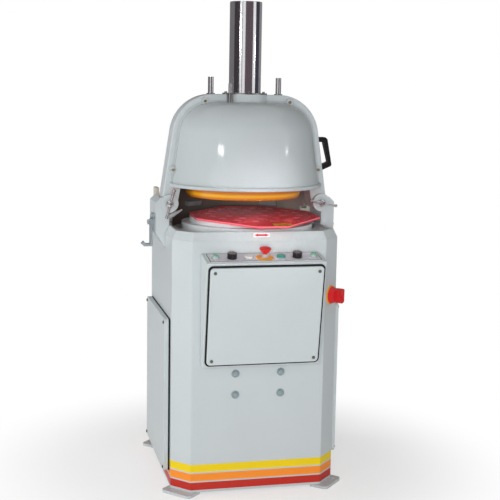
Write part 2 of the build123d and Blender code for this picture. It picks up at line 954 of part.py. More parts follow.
def main_switch_knob():
    """Red main switch knob: a coned flange with a dished grip."""
    z0 = switch_plate_thickness + running_gap
    z1 = z0 + switch_flange_height
    z2 = z1 + switch_grip_height
    knob = Pos(0, 0, (z0 + z1) / 2) * Cone(switch_flange_radius, switch_flange_radius * 0.8, z1 - z0)
    grip = Pos(0, 0, (z1 + z2) / 2) * Cylinder(switch_grip_radius, z2 - z1)
    flat = switch_grip_radius * 0.62
    for side in (-1, 1):
        edge = side * flat
        grip -= block(edge, edge + side * switch_grip_radius, -2 * flat, 2 * flat, z1 + 2, z2 + 1)
    knob += grip
    knob -= Pos(0, 0, z2 + switch_grip_radius * 0.8) * Sphere(switch_grip_radius)
    knob += post(switch_shaft_radius, 0, 0, -3 * column_wall, z0 + 1)
    return switch_plane * knob


def drive_bracket():
    """Angle bracket behind the front wall that carries the motor."""
    half = front_bolt_x + bracket_margin
    y0 = front_y + column_wall
    y1 = y0 + bracket_thickness
    low = front_bolt_low - bracket_margin
    bracket = block(-half, half, y0, y1, low, bracket_top)
    bracket += block(-half, half, y0, y0 + bracket_reach, bracket_top - bracket_thickness, bracket_top)
    for side in (-1, 1):
        x0 = side * half
        x1 = side * (half - bracket_thickness)
        rib = [(y1, low), (y1, bracket_top), (y0 + bracket_reach, bracket_top)]
        bracket += along_x(rib, min(x0, x1), max(x0, x1))
    for x, z in front_bolt_places():
        bracket -= bar_y(dome_shank_radius + sheet_gap, y0 - 1, y1 + 1, x, z)
    return bracket


def drive_bolts():
    """Four dome-head bolts with washers through the front wall."""
    bolts = []
    for x, z in front_bolt_places():
        seat = Plane(origin=(x, front_y, z), x_dir=(1, 0, 0), z_dir=(0, -1, 0))
        washer = post(dome_washer_radius, 0, 0, 0, dome_washer_thickness)
        head_top = dome_washer_thickness + dome_head_height
        head = post(dome_head_radius, 0, 0, 0, head_top)
        head = fillet(head.faces().sort_by(Axis.Z)[-1].edges(), dome_head_height * 0.85)
        grip = column_wall + bracket_thickness
        shank = post(dome_shank_radius, 0, 0, -grip - 2 * dome_shank_radius, 0.1)
        nut_start = -grip - dome_shank_radius * 1.6
        nut = extrude(Pos(0, 0, nut_start) * RegularPolygon(dome_head_radius, 6), -grip - nut_start)
        bolts.append(seat * (washer + head + shank + nut))
    return as_group(bolts)


def tray_pocket():
    """Hollow of the casting: a shallow eight-sided ledge in front and a round well for the table."""
    half_x = half_width - shoulder_inset_x - apron_rim
    half_y = half_depth - shoulder_inset_y - apron_rim
    outline = octagon(half_x, half_y, chamfer_x - shoulder_cut, chamfer_y - shoulder_cut)
    front = upright(outline, rim_top - tray_ledge_drop, rim_top + 1)
    front -= block(-half_width, half_width, press_y, rear_y, tray_floor - 1, rim_top + 2)
    return front + post(guard_outer + sheet_gap, 0, press_y, tray_floor, rim_top + 1)


def right_cheek():
    """Right cheek of the casting: pad, leg seat, outer wall and clamp lug."""
    pad_bottom = column_top - cheek_pad_drop
    side = half_width + sheet_gap
    wall_in = cheek_outer - cheek_wall
    wall_top = leg_seat + cheek_wall_rise
    root = column_top
    outline = [
        (cheek_inner, root),
        (side, root),
        (side, pad_bottom),
        (cheek_outer, pad_bottom + cheek_taper),
        (cheek_outer, wall_top),
        (wall_in, wall_top + cheek_wall_slope),
        (wall_in, leg_seat),
        (cheek_inner, leg_seat),
    ]
    cheek = along_y(outline, cheek_front, cheek_front + cheek_depth)
    cheek = fillet(cheek.edges().filter_by(Axis.Y).sort_by(Axis.X)[-2:], cheek_edge)
    lug = [
        (clamp_x, leg_seat),
        (cheek_outer, leg_seat),
        (cheek_outer, wall_top),
        (wall_in, wall_top + cheek_wall_slope),
        (clamp_x, clamp_z + clamp_boss_radius),
    ]
    cheek += along_y(lug, cheek_front, cheek_front + lug_thickness)
    boss_front = cheek_front - clamp_boss_proud
    boss_rear = cheek_front + lug_thickness
    cheek += bar_y(clamp_boss_radius, boss_front, boss_rear, clamp_x, clamp_z)
    cheek -= bar_y(clamp_radius + running_fit, boss_front - 1, boss_rear + 1, clamp_x, clamp_z)
    cheek -= bar_y(clamp_seat_radius, boss_front - 1, boss_front + clamp_seat_depth, clamp_x, clamp_z)
    return cheek


def machine_frame():
    """Top casting: bevelled shoulder, apron, tray and two cheeks."""
    lower = Pos(0, 0, column_top) * Polygon(*column_outline(), align=None)
    top_outline = octagon(
        half_width - shoulder_inset_x,
        half_depth - shoulder_inset_y,
        chamfer_x - shoulder_cut,
        chamfer_y - shoulder_cut,
    )
    upper = Pos(0, 0, rim_top) * Polygon(*top_outline, align=None)
    frame = loft([lower.face(), upper.face()], ruled=True)
    corners = [edge for edge in frame.edges() if abs(edge.tangent_at(0.5).Z) > 0.5]
    frame = fillet(corners, column_bend)
    frame += upright(column_outline(column_wall + sheet_gap), deck_bottom, column_top)
    frame -= tray_pocket()
    cheek = right_cheek()
    frame += cheek
    frame += mirrored(cheek)
    frame -= post(shaft_radius + 2, 0, press_y, deck_bottom - 1, tray_floor + 1)
    frame -= finger_hole()
    frame -= lever_hole()
    return frame


def rear_guard():
    """Curved sheet behind the table, low at the rear and rising to two wings at the sides."""
    z1 = tray_floor + guard_height
    wall = collar(guard_outer, guard_inner, 0, press_y, tray_floor, z1)
    reach = 2 * guard_outer
    step = tray_floor + guard_step
    wall -= block(-reach, reach, press_y - reach, press_y + guard_front, tray_floor - 1, step)
    wall -= block(-reach, reach, press_y - reach, press_y + guard_wing_front, step - 1, z1 + 1)
    rear = press_y + guard_inner
    low = tray_floor + guard_rear_height
    crest = rear - (z1 - low) / guard_slope
    past = rear + 4 * guard_sheet
    foot = low - (past - rear) * guard_slope
    return wall - along_x([(crest, z1 + 2), (crest, z1), (past, foot), (past, z1 + 2)], -reach, reach)


def hinge_block():
    """Right hinge block: two lugs on a foot, with the pin's bore."""
    inner = arm_inner - running_gap - hinge_lug_thickness
    outer = arm_outer + running_gap + hinge_outer_lug_thickness
    y0 = hinge_y - hinge_lug_depth / 2
    y1 = hinge_y + hinge_lug_depth / 2
    foot_edge = half_width - shoulder_inset_x
    body = block(inner, outer, y0, y1, rim_top, hinge_z + hinge_lug_rise)
    slot_floor = hinge_z - hinge_eye_radius - 2
    slot_top = hinge_z + 2 * hinge_lug_rise
    slot_inner = arm_inner - running_gap
    slot_outer = arm_outer + running_gap
    body -= block(slot_inner, slot_outer, y0 - 1, y1 + 1, slot_floor, slot_top)
    body -= block(foot_edge, outer + 1, y0 - 1, y1 + 1, rim_top - 1, rim_top + 12)
    return body - bar_x(hinge_pin_radius + sheet_gap / 4, inner - 1, outer + 1, hinge_y, hinge_z)


def hinge_blocks():
    block_right = hinge_block()
    return as_group([block_right, mirrored(block_right)])


def hinge_pins():
    """Two headed hinge pins."""
    inner = arm_inner - running_gap - hinge_lug_thickness
    outer = arm_outer + running_gap + hinge_outer_lug_thickness
    pin = bar_x(hinge_pin_radius, inner, outer + 2, hinge_y, hinge_z)
    pin += bar_x(hinge_pin_radius * 1.5, outer, outer + 5, hinge_y, hinge_z)
    return as_group([pin, mirrored(pin)])


def bearing_housing():
    """Flanged tube under the deck that holds the shaft's bearings."""
    outer = bearing_radius + housing_wall
    tube = post(outer, 0, press_y, housing_bottom, deck_bottom)
    tube += post(housing_flange_radius, 0, press_y, deck_bottom - housing_flange_thickness, deck_bottom)
    return tube - post(bearing_radius, 0, press_y, housing_bottom - 1, deck_bottom + 1)


def shaft_bearings():
    """Upper and lower bearing of the eccentric shaft."""
    rings = []
    outer = bearing_radius - running_fit
    inner = shaft_radius + running_fit
    for z in (housing_bottom, deck_bottom - bearing_width):
        rings.append(collar(outer, inner, 0, press_y, z, z + bearing_width))
    return as_group(rings)


def eccentric_shaft():
    """Upright shaft with the crank web and pin on top and a counterweight below."""
    shaft = post(shaft_radius, 0, press_y, shaft_bottom, web_bottom + 1)
    web_radius = eccentricity + crank_pin_radius + crank_web_margin
    shaft += post(web_radius, 0, press_y, web_bottom, web_top)
    shaft += post(crank_pin_radius, crank_x, crank_y, web_bottom, crank_pin_top)
    z1 = housing_bottom - shaft_bottom_gap
    weight = post(counterweight_radius, 0, 0, z1 - counterweight_thickness, z1)
    reach = 2 * counterweight_radius
    weight -= block(-shaft_radius / 2, reach, -reach, reach, z1 - reach, z1 + reach)
    return shaft + Pos(0, press_y, 0) * Rot(0, 0, crank_angle) * weight


def pulley(radius, bore, x, y):
    """Belt pulley with a groove for the belt."""
    wheel = collar(radius, bore, x, y, pulley_bottom, pulley_top)
    middle = (pulley_bottom + pulley_top) / 2
    half = belt_width / 2 + belt_side_gap
    return wheel - collar(radius + 1, radius - belt_thickness, x, y, middle - half, middle + half)


def driven_pulley():
    return pulley(driven_pulley_radius, shaft_radius, 0, press_y)


def motor_pulley():
    """Motor pulley on its shaft."""
    wheel = pulley(motor_pulley_radius, motor_shaft_radius - 1, 0, motor_y)
    return wheel + post(motor_shaft_radius, 0, motor_y, motor_top - 4 * motor_shaft_radius, pulley_top + 3)


def drive_belt():
    """Flat-sided belt loop round both pulleys."""
    z0 = (pulley_bottom + pulley_top) / 2 - belt_width / 2

    def loop(offset):
        wheel = Pos(0, press_y) * Circle(driven_pulley_radius - belt_thickness + offset)
        small = Pos(0, motor_y) * Circle(motor_pulley_radius - belt_thickness + offset)
        return make_hull(wheel.edges() + small.edges())

    belt = extrude(Pos(0, 0, z0) * loop(belt_thickness), belt_width, dir=(0, 0, 1))
    return belt - extrude(Pos(0, 0, z0 - 1) * loop(running_gap), belt_width + 2, dir=(0, 0, 1))


def drive_motor():
    """Upright motor on the bracket's shelf."""
    half = motor_flange / 2
    z0 = bracket_top
    z1 = z0 + motor_flange_thickness
    motor = block(-half, half, motor_y - half, motor_y + half, z0, z1)
    motor = fillet(motor.edges().filter_by(Axis.Z), 12)
    motor += post(motor_radius, 0, motor_y, z1 - 1, motor_top)
    terminal_low = z1 + terminal_rise
    motor += block(
        motor_radius * 0.7,
        motor_radius * 1.35,
        motor_y - terminal_half_width,
        motor_y + terminal_half_width,
        terminal_low,
        terminal_low + terminal_height,
    )
    bore_bottom = motor_top - 5 * motor_shaft_radius
    return motor - post(motor_shaft_radius + running_fit, 0, motor_y, bore_bottom, motor_top + 1)


def hydraulic_unit():
    """Oil tank with the pump's motor on top."""
    z0 = foot_thickness + base_plate_thickness
    z1 = z0 + tank_height
    tank = block(-tank_width / 2, tank_width / 2, tank_y - tank_depth / 2, tank_y + tank_depth / 2, z0, z1)
    tank = fillet(tank.edges().filter_by(Axis.Z), 10)
    tank += post(pump_radius, 0, tank_y, z1 - 1, z1 + pump_height)
    tank += post(pump_radius * 0.35, tank_width * 0.36, tank_y, z1 - 1, z1 + 18)
    return tank


def electrical_panel():
    """Mounting plate with a row of contactors inside the control box."""
    y1 = front_y - box_wall
    y0 = y1 - panel_thickness
    middle = (box_bottom + box_front_top) / 2
    low = middle - panel_height / 2
    panel = block(-panel_width / 2, panel_width / 2, y0, y1, low, low + panel_height)
    pitch = panel_width / contactor_count
    for step in range(contactor_count):
        x = (step - (contactor_count - 1) / 2) * pitch
        z0 = middle + panel_height / 4 - contactor_height / 2
        half = contactor_width / 2
        panel += block(x - half, x + half, y0 - contactor_depth, y0 + 1, z0, z0 + contactor_height)
    return panel


def clamp_handle():
    """Round hub with a cross bar, its screw axis along Y and the bar along Z."""
    hub = Rot(90, 0, 0) * Cylinder(clamp_hub_radius, 2 * clamp_hub_radius)
    hub = fillet(hub.edges().filter_by(GeomType.CIRCLE), clamp_hub_radius * 0.45)
    handle = hub + Cylinder(clamp_bar_radius, clamp_bar_length)
    knob = Cylinder(clamp_bar_radius * 1.3, clamp_knob_length)
    knob = fillet(knob.edges().filter_by(GeomType.CIRCLE), clamp_bar_radius * 0.9)
    for end in (-1, 1):
        handle += Pos(0, 0, end * clamp_bar_length / 2) * knob
    return handle


def clamp_screw(x, turn):
    """T-handle clamp screw: threaded bar, domed collar, hub and cross bar."""
    tip = arch_front - running_gap
    nut_rear = cheek_front - clamp_boss_proud - running_gap
    nut_front = nut_rear - clamp_nut_length
    nut = bar_y(clamp_nut_radius, nut_front, nut_rear, x, clamp_z)
    nut = fillet(nut.faces().sort_by(Axis.Y)[0].edges(), clamp_nut_length * 0.6)
    hub_y = nut_front - clamp_hub_radius * 0.8
    screw = bar_y(clamp_radius, hub_y, tip, x, clamp_z) + nut
    return screw + Pos(x, hub_y, clamp_z) * Rot(0, turn, 0) * clamp_handle()


def finger_place():
    """Plane of the stop finger: Z along its axis, the origin on the left cheek's inner face."""
    tilt = math.radians(finger_tilt)
    return Plane(
        origin=(-cheek_inner, cheek_front + finger_set_back, leg_seat - finger_drop),
        x_dir=(0, 1, 0),
        z_dir=(math.cos(tilt), 0, math.sin(tilt)),
    )


def finger_hole():
    return finger_place() * post(finger_radius + sheet_gap, 0, 0, -finger_root - 1, finger_neck)


def stop_finger():
    """Pointed pin under the left clamp screw, leaning up towards the plate."""
    pin = post(finger_radius, 0, 0, -finger_root, finger_neck)
    point = Cone(finger_radius, finger_tip_radius, finger_point)
    return finger_place() * (pin + Pos(0, 0, finger_neck + finger_point / 2) * point)


def lever_hole():
    """Blind bore for the lever's pivot bolt in the left cheek."""
    depth = cheek_overhang * 0.8
    return bar_x(lever_pivot_radius + sheet_gap, -cheek_outer - 1, -cheek_outer + depth, lever_y, lever_z)


def lever_bracket():
    """Bearing plate of the hook lever with its pivot bolt and two screws."""
    face = -cheek_outer
    outer = face - lever_plate_thickness
    y0 = lever_y - lever_plate_length / 2
    y1 = lever_y + lever_plate_length / 2
    z0 = lever_z - lever_plate_height * 0.52
    z1 = lever_z + lever_plate_height * 0.48
    plate = block(outer, face, y0, y1, z0, z1)
    plate = fillet(plate.edges().filter_by(Axis.X), lever_plate_height * 0.2)
    depth = cheek_overhang * 0.8
    reach = outer - 2 * running_gap - lever_arm_thickness
    pivot = bar_x(lever_pivot_radius, reach - 1, face + depth - 1, lever_y, lever_z)
    pivot += bar_x(lever_head_radius, reach - lever_head_height, reach, lever_y, lever_z)
    heads = []
    for y_step, z_step in ((-0.05, 0.32), (0.3, -0.18)):
        y = lever_y + y_step * lever_plate_length
        z = lever_z + z_step * lever_plate_height
        heads.append(bar_x(lever_head_radius * 0.66, outer - lever_head_height, outer + 1, y, z))
    return plate + pivot + heads[0] + heads[1]


def hook_lever():
    """Hanging lever with an outward foot and an upturned tip."""
    outer = -cheek_outer - lever_plate_thickness - running_gap
    x0 = outer - lever_arm_thickness
    y0 = lever_y - lever_arm_width / 2
    y1 = lever_y + lever_arm_width / 2
    low = lever_z - lever_arm_length
    arm = block(x0, outer, y0, y1, low, lever_z)
    arm += bar_x(lever_arm_width / 2 + 1, x0, outer, lever_y, lever_z)
    arm += block(x0 - lever_foot_length, outer, y0, y1, low, low + lever_arm_thickness)
    tip_x = x0 - lever_foot_length
    tip = [
        (tip_x, low),
        (tip_x + lever_arm_thickness, low + lever_arm_thickness),
        (tip_x + lever_arm_thickness - lever_tip_length, low + lever_arm_thickness + lever_tip_length),
        (tip_x - lever_tip_length, low + lever_tip_length),
    ]
    arm += along_y(tip, y0, y1)
    return arm - bar_x(lever_pivot_radius + running_fit, x0 - 1, outer + 1, lever_y, lever_z)


def arch_face(inset_side, inset_top, corner):
    """Front outline of the arch, moved in from its sides and top."""
    foot_x = leg_outer - inset_side
    top_x = arch_shoulder - inset_side
    top_z = arch_top - inset_top
    outline = Plane.XZ * Polygon(
        (-foot_x, leg_bottom), (foot_x, leg_bottom), (top_x, top_z), (-top_x, top_z), align=None
    )
    corners = outline.vertices().sort_by(Axis.Z)[-2:]
    return fillet(corners, corner)


def hood_radius_at(z):
    """Outer radius of the hood's wall at a height below its rounded top."""
    base = guard_outer + hood_guard_gap + hood_wall
    return base - hood_taper * (z - hood_bottom) / (hood_top - hood_bottom)


def hood_screw_places():
    """X and Z of the hood's screws on the arch's face."""
    low_z = hood_bottom + hood_ear_lower_rise
    low_x = math.sqrt(hood_radius_at(low_z) ** 2 - (arch_depth / 2) ** 2) + hood_ear_lower_out
    high_z = hood_top + hood_ear_upper_rise
    places = []
    for side in (-1, 1):
        places.append((side * low_x, low_z))
        places.append((side * hood_ear_upper_x, high_z))
    return places


def hinge_arm():
    """Right arm from the arch's leg back to the hinge eye."""
    z1 = leg_bottom + hinge_arm_height
    arm = block(arm_inner, arm_outer, arch_rear - 10, hinge_y, leg_bottom, z1)
    arm += bar_x(hinge_eye_radius, arm_inner, arm_outer, hinge_y, hinge_z)
    return arm


def head_arch():
    """Cast arch: two leaning legs, a top beam, the tube's boss and the hinge arms."""
    arch = extrude(Pos(0, arch_front, 0) * arch_face(0, 0, arch_corner), arch_depth, dir=(0, 1, 0))
    outer_faces = arch.faces().filter_by(GeomType.PLANE).sort_by(Axis.Y)
    arch = fillet(outer_faces[0].edges() + outer_faces[-1].edges(), arch_edge)
    inner_corner = arch_corner - leg_width
    hollow = Pos(0, arch_front - 1, 0) * arch_face(leg_width, beam_height, inner_corner)
    arch -= extrude(hollow, arch_depth + 2, dir=(0, 1, 0))
    arch -= block(-leg_outer, leg_outer, arch_front - 1, arch_rear + 1, leg_bottom - 1, leg_bottom)
    arch += post(tube_boss_radius, 0, press_y, arch_top - tube_boss_drop, arch_top)
    arm = hinge_arm()
    arch += arm
    arch += mirrored(arm)
    eye = bar_x(hinge_pin_radius + running_fit, -arm_outer - 1, arm_outer + 1, hinge_y, hinge_z)
    arch -= eye
    arch -= post(rod_radius + running_fit, 0, press_y, leg_seat, arch_top + 1)
    bush_seat = guide_rod_radius + bush_wall + sheet_gap / 4
    for side in (-1, 1):
        arch -= post(bush_seat, side * guide_rod_x, press_y, leg_seat, arch_top + 1)
    for x, z in hood_screw_places():
        arch -= bar_y(screw_radius + sheet_gap, arch_front - 1, arch_front + screw_length + 1, x, z)
        arch -= bar_y(screw_radius + sheet_gap, arch_rear - screw_length - 1, arch_rear + 1, x, z)
    return arch


def dome(grow):
    """Solid of revolution of the hood, grown outwards."""
    base = hood_radius_at(hood_bottom) + grow
    top = hood_radius_at(hood_top) + grow
    outline = Polygon(
        (0, hood_bottom), (base, hood_bottom), (top, hood_top + grow), (0, hood_top + grow), align=None
    )
    shoulder = outline.vertices().sort_by(Axis.X)[-1]
    for vertex in outline.vertices():
        if vertex.X > 1 and vertex.Y > hood_bottom + 1:
            shoulder = vertex
    outline = fillet(shoulder, hood_corner + grow)
    upright_plane = Plane(origin=(0, press_y, 0), x_dir=(1, 0, 0), z_dir=(0, -1, 0))
    return revolve(upright_plane * outline, Axis((0, press_y, 0), (0, 0, 1)), 360)


def front_hood():
    """Front half dome with its bead, lip and screw ears."""
    bead_radius = hood_radius_at(hood_bottom) + hood_bead
    reach = 2 * bead_radius
    bead = post(bead_radius, 0, press_y, hood_bottom, hood_bottom + hood_bead_height)
    bead = fillet(bead.faces().filter_by(GeomType.PLANE).edges(), hood_bead_round)
    lip_slab = block(-reach, reach, arch_front - hood_lip_thickness, arch_front, hood_bottom, arch_top)
    hood = dome(0) + bead + (dome(hood_lip_width) & lip_slab)
    for x, z in hood_screw_places():
        hood += bar_y(hood_ear_radius, arch_front - hood_ear_thickness, arch_front, x, z)
    hollow = dome(-hood_wall)
    hollow += post(bead_radius - hood_bead - hood_wall, 0, press_y, hood_bottom - 1, hood_bottom + 1)
    hood -= hollow
    hood -= block(-reach, reach, arch_front, press_y + reach, hood_bottom - 1, arch_top + 1)
    boss_bottom = arch_top - tube_boss_drop - sheet_gap
    hood -= post(tube_boss_radius + sheet_gap, 0, press_y, boss_bottom, arch_top + 1)
    for x, z in hood_screw_places():
        hood -= bar_y(screw_radius + sheet_gap, arch_front - 2 * hood_ear_thickness, arch_front + 1, x, z)
        seat = arch_front - hood_ear_thickness
        hood -= bar_y(screw_head_radius + sheet_gap, seat - 2 * hood_ear_thickness, seat, x, z)
    hood -= post(indicator_radius + 1, indicator_x, press_y + indicator_y, hood_bottom, arch_top)
    return hood


def rear_hood():
    """Rear half dome, the front one turned round without the rod's hole."""
    plug = post(indicator_radius + 1, indicator_x, press_y + indicator_y, hood_top - hood_wall, hood_top)
    return mirror(front_hood() + plug, about=Plane.XZ.offset(-press_y))


def hood_screws():
    """Eight hood screws, four in front and four behind."""
    screws = []
    for x, z in hood_screw_places():
        grip = hood_ear_thickness + screw_length
        front = Plane(origin=(x, arch_front - hood_ear_thickness, z), x_dir=(1, 0, 0), z_dir=(0, -1, 0))
        rear = Plane(origin=(x, arch_rear + hood_ear_thickness, z), x_dir=(-1, 0, 0), z_dir=(0, 1, 0))
        screws.append(front * pan_screw(grip))
        screws.append(rear * pan_screw(grip))
    return as_group(screws)


def press_tube():
    """Chrome press cylinder, closed at the top."""
    tube = post(tube_radius, 0, press_y, arch_top, arch_top + tube_height)
    tube = fillet(tube.faces().sort_by(Axis.Z)[-1].edges(), 2)
    bore_top = arch_top + tube_height - tube_wall
    return tube - post(tube_radius - tube_wall, 0, press_y, arch_top - 1, bore_top)


def tube_flange():
    """Clamp ring at the foot of the tube with its bolts."""
    ring = collar(flange_radius, tube_radius + sheet_gap, 0, press_y, arch_top, arch_top + flange_thickness)
    for step in range(4):
        angle = math.radians(90 * step)
        x = flange_bolt_circle * math.cos(angle)
        y = press_y + flange_bolt_circle * math.sin(angle)
        z = arch_top + flange_thickness
        ring += post(flange_bolt_radius, x, y, z - 1, z + flange_bolt_radius)
    return ring


def rod_sleeves():
    """Bushes of the two guide rods and the sleeve of the indicator rod."""
    parts = []
    beam_bottom = arch_top - beam_height
    for side in (-1, 1):
        parts.append(
            collar(
                guide_rod_radius + bush_wall,
                guide_rod_radius + running_fit,
                side * guide_rod_x,
                press_y,
                beam_bottom,
                arch_top + bush_proud,
            )
        )
    parts.append(
        collar(
            indicator_radius + sleeve_wall,
            indicator_radius + running_fit,
            indicator_x,
            press_y + indicator_y,
            hood_top,
            hood_top + sleeve_height,
        )
    )
    return as_group(parts)


def leg_face_x(z):
    """X of the right leg's outer face at a height."""
    return leg_outer - arch_taper * (z - leg_bottom) / (arch_top - leg_bottom)


def bow_handle():
    """Black bow handle on the right leg's outer face."""
    z0 = leg_seat + bow_rise
    z1 = z0 + bow_length
    foot_height = 1.2 * bow_thickness
    low = leg_face_x(z0)
    high = leg_face_x(z1)
    outline = [
        (low, z0),
        (low + bow_standoff, z0 + foot_height),
        (high + bow_standoff, z1 - foot_height * 0.4),
        (high + bow_standoff * 0.8, z1),
        (high, z1),
    ]
    window = [
        (leg_face_x(z0 + foot_height) - 5, z0 + foot_height),
        (low + bow_standoff - bow_thickness, z0 + 1.8 * foot_height),
        (high + bow_standoff - bow_thickness, z1 - foot_height),
        (leg_face_x(z1 - foot_height) - 5, z1 - foot_height),
    ]
    y0 = press_y - bow_width / 2
    y1 = press_y + bow_width / 2
    bow = along_y(outline, y0, y1)
    grip_edges = bow.edges().filter_by(Axis.Y).sort_by(Axis.X)[-3:]
    bow = fillet(grip_edges, bow_round)
    opening = along_y(window, y0 - 1, y1 + 1)
    opening = fillet(opening.edges().filter_by(Axis.Y).sort_by(Axis.X)[-2:], bow_round * 0.5)
    return bow - opening


def press_ring():
    """Yellow pressing ring, narrower towards its rounded lower lip."""
    ring = Cone(ring_outer - ring_taper, ring_outer, ring_top - ring_bottom)
    ring = Pos(0, press_y, (ring_bottom + ring_top) / 2) * ring
    ring = fillet(ring.faces().sort_by(Axis.Z)[0].edges(), ring_lip_round)
    return ring - post(ring_inner, 0, press_y, ring_bottom - 1, ring_top + 1)


def ring_carrier():
    """Steel bell that holds the pressing ring, with its two guide rods."""
    outer = ring_outer - carrier_set_in
    bell = collar(outer, outer - carrier_wall, 0, press_y, ring_top, carrier_top)
    bell += collar(outer, carrier_hole, 0, press_y, carrier_bottom, carrier_top)
    for side in (-1, 1):
        bell += post(guide_rod_radius, side * guide_rod_x, press_y, carrier_bottom, guide_rod_top)
    return bell


def knife_blades(thickness, z0, z1):
    """Ring and radial blades of the dividing pattern."""
    half = thickness / 2
    edges = (0.0,) + tuple(knife_rings) + (press_radius - knife_outer_gap,)
    blades = None
    for radius in knife_rings:
        hoop = collar(radius + half, radius - half, 0, press_y, z0, z1)
        blades = hoop if blades is None else blades + hoop
    for zone, count in enumerate(knife_counts):
        for step in range(count):
            blade = block(edges[zone], edges[zone + 1], -half, half, z0, z1)
            blades += Pos(0, press_y, 0) * Rot(0, 0, 360 * step / count) * blade
    return blades


def knife_post_places():
    places = []
    for step in range(knife_counts[0]):
        angle = math.radians(360 * step / knife_counts[0])
        places.append((knife_post_circle * math.cos(angle), press_y + knife_post_circle * math.sin(angle)))
    return places


def knife_set():
    """Dividing knives on four posts under a sliding hub."""
    knives = knife_blades(knife_thickness, knife_bottom, knife_top)
    for x, y in knife_post_places():
        knives += post(knife_post_radius, x, y, knife_top - 1, knife_hub_bottom + 1)
    hub = collar(
        knife_hub_radius,
        rod_radius + running_fit,
        0,
        press_y,
        knife_hub_bottom,
        knife_hub_bottom + knife_hub_thickness,
    )
    return knives + hub


def press_plate():
    """Press plate with slots that the knives pass through from above."""
    plate = post(press_radius, 0, press_y, press_bottom, press_top)
    plate -= knife_blades(knife_thickness + 2 * knife_slot_gap, press_bottom - 1, press_top - press_skin)
    for x, y in knife_post_places():
        plate -= post(knife_post_radius + knife_slot_gap, x, y, press_bottom + press_skin, press_top + 1)
    return plate


def piston_rod():
    """Piston rod with its piston inside the press tube."""
    top = press_top + rod_length
    rod = post(rod_radius, 0, press_y, press_top, top)
    return rod + post(tube_radius - tube_wall - running_fit, 0, press_y, top, top + piston_thickness)


def indicator_rod():
    """Thin rod on the press plate that shows its height above the hood."""
    top = hood_top + sleeve_height + indicator_show
    return post(indicator_radius, indicator_x, press_y + indicator_y, press_top, top)


def plate_place():
    """Where the moulding plate lies: on the table's seat, which leans to the front."""
    under = table_top + plate_lift
    return Pos(crank_x + plate_shift_x, crank_y + plate_shift_y, under) * Rot(plate_tilt, 0, 0)


def orbit_table():
    """Round table with a raised seat, a skirt and the hub that runs on the crank pin."""
    table = post(table_radius, crank_x, crank_y, table_bottom, table_top)
    table = fillet(table.faces().sort_by(Axis.Z)[-1].edges(), table_edge_round)
    skirt_inner = table_radius - table_skirt_wall
    skirt_bottom = tray_floor + table_skirt_gap
    table += collar(table_radius, skirt_inner, crank_x, crank_y, skirt_bottom, table_bottom + 1)
    seat = post(table_seat_radius, crank_x, crank_y, table_bottom, table_top + 3 * plate_lift)
    reach = 2 * table_radius
    seat -= plate_place() * block(-reach, reach, -reach, reach, -running_gap, reach)
    table += seat
    pocket_outer = table_seat_radius - table_wall
    pocket_inner = table_hub_radius + table_wall
    table -= collar(pocket_outer, pocket_inner, crank_x, crank_y, table_bottom - 1, table_top)
    table += post(table_hub_radius, crank_x, crank_y, web_top + running_gap, table_bottom + 1)
    bore_top = crank_pin_top + running_gap
    return table - post(crank_pin_radius + running_fit, crank_x, crank_y, web_bottom, bore_top)


def plate_stops():
    """Two dark blocks inside the rear guard, just above the moulding plate."""
    z0 = tray_floor + stop_rise
    z1 = z0 + stop_height
    half = stop_width / 2
    inside = post(guard_inner, 0, press_y, z0 - 1, z1 + 1)
    blocks = []
    for side in (-1, 1):
        slab = block(-half, half, guard_inner - stop_depth, guard_inner, z0, z1)
        blocks.append(Pos(0, press_y, 0) * Rot(0, 0, side * stop_angle) * slab & inside)
    return as_group(blocks)


def moulding_plate():
    """Red eight-sided moulding plate with a front tongue and rings of shallow dimples."""
    half = table_radius - plate_set_in
    front = half + plate_tongue
    outline = [
        (half, -plate_side_front),
        (half, plate_side_rear),
        (plate_side_rear, half),
        (-plate_side_rear, half),
        (-half, plate_side_rear),
        (-half, -plate_side_front),
        (-plate_front_half, -front),
        (plate_front_half, -front),
    ]
    plate = upright(outline, 0, plate_thickness)
    plate = fillet(plate.edges().filter_by(Axis.Z), plate_corner)
    plate = fillet(plate.faces().sort_by(Axis.Z)[-1].edges(), plate_edge)
    sphere = (dimple_radius ** 2 + dimple_depth ** 2) / (2 * dimple_depth)
    centre = plate_thickness + sphere - dimple_depth
    for circle, count in zip(dimple_circles, knife_counts):
        for step in range(count):
            angle = math.radians(360 * (step + 0.5) / count)
            plate -= Pos(circle * math.cos(angle), circle * math.sin(angle), centre) * Sphere(sphere)
    groove = collar(
        plate_groove_radius + plate_groove_width / 2,
        plate_groove_radius - plate_groove_width / 2,
        0,
        0,
        plate_thickness - plate_groove_depth,
        plate_thickness + 1,
    )
    return plate_place() * (plate - groove)


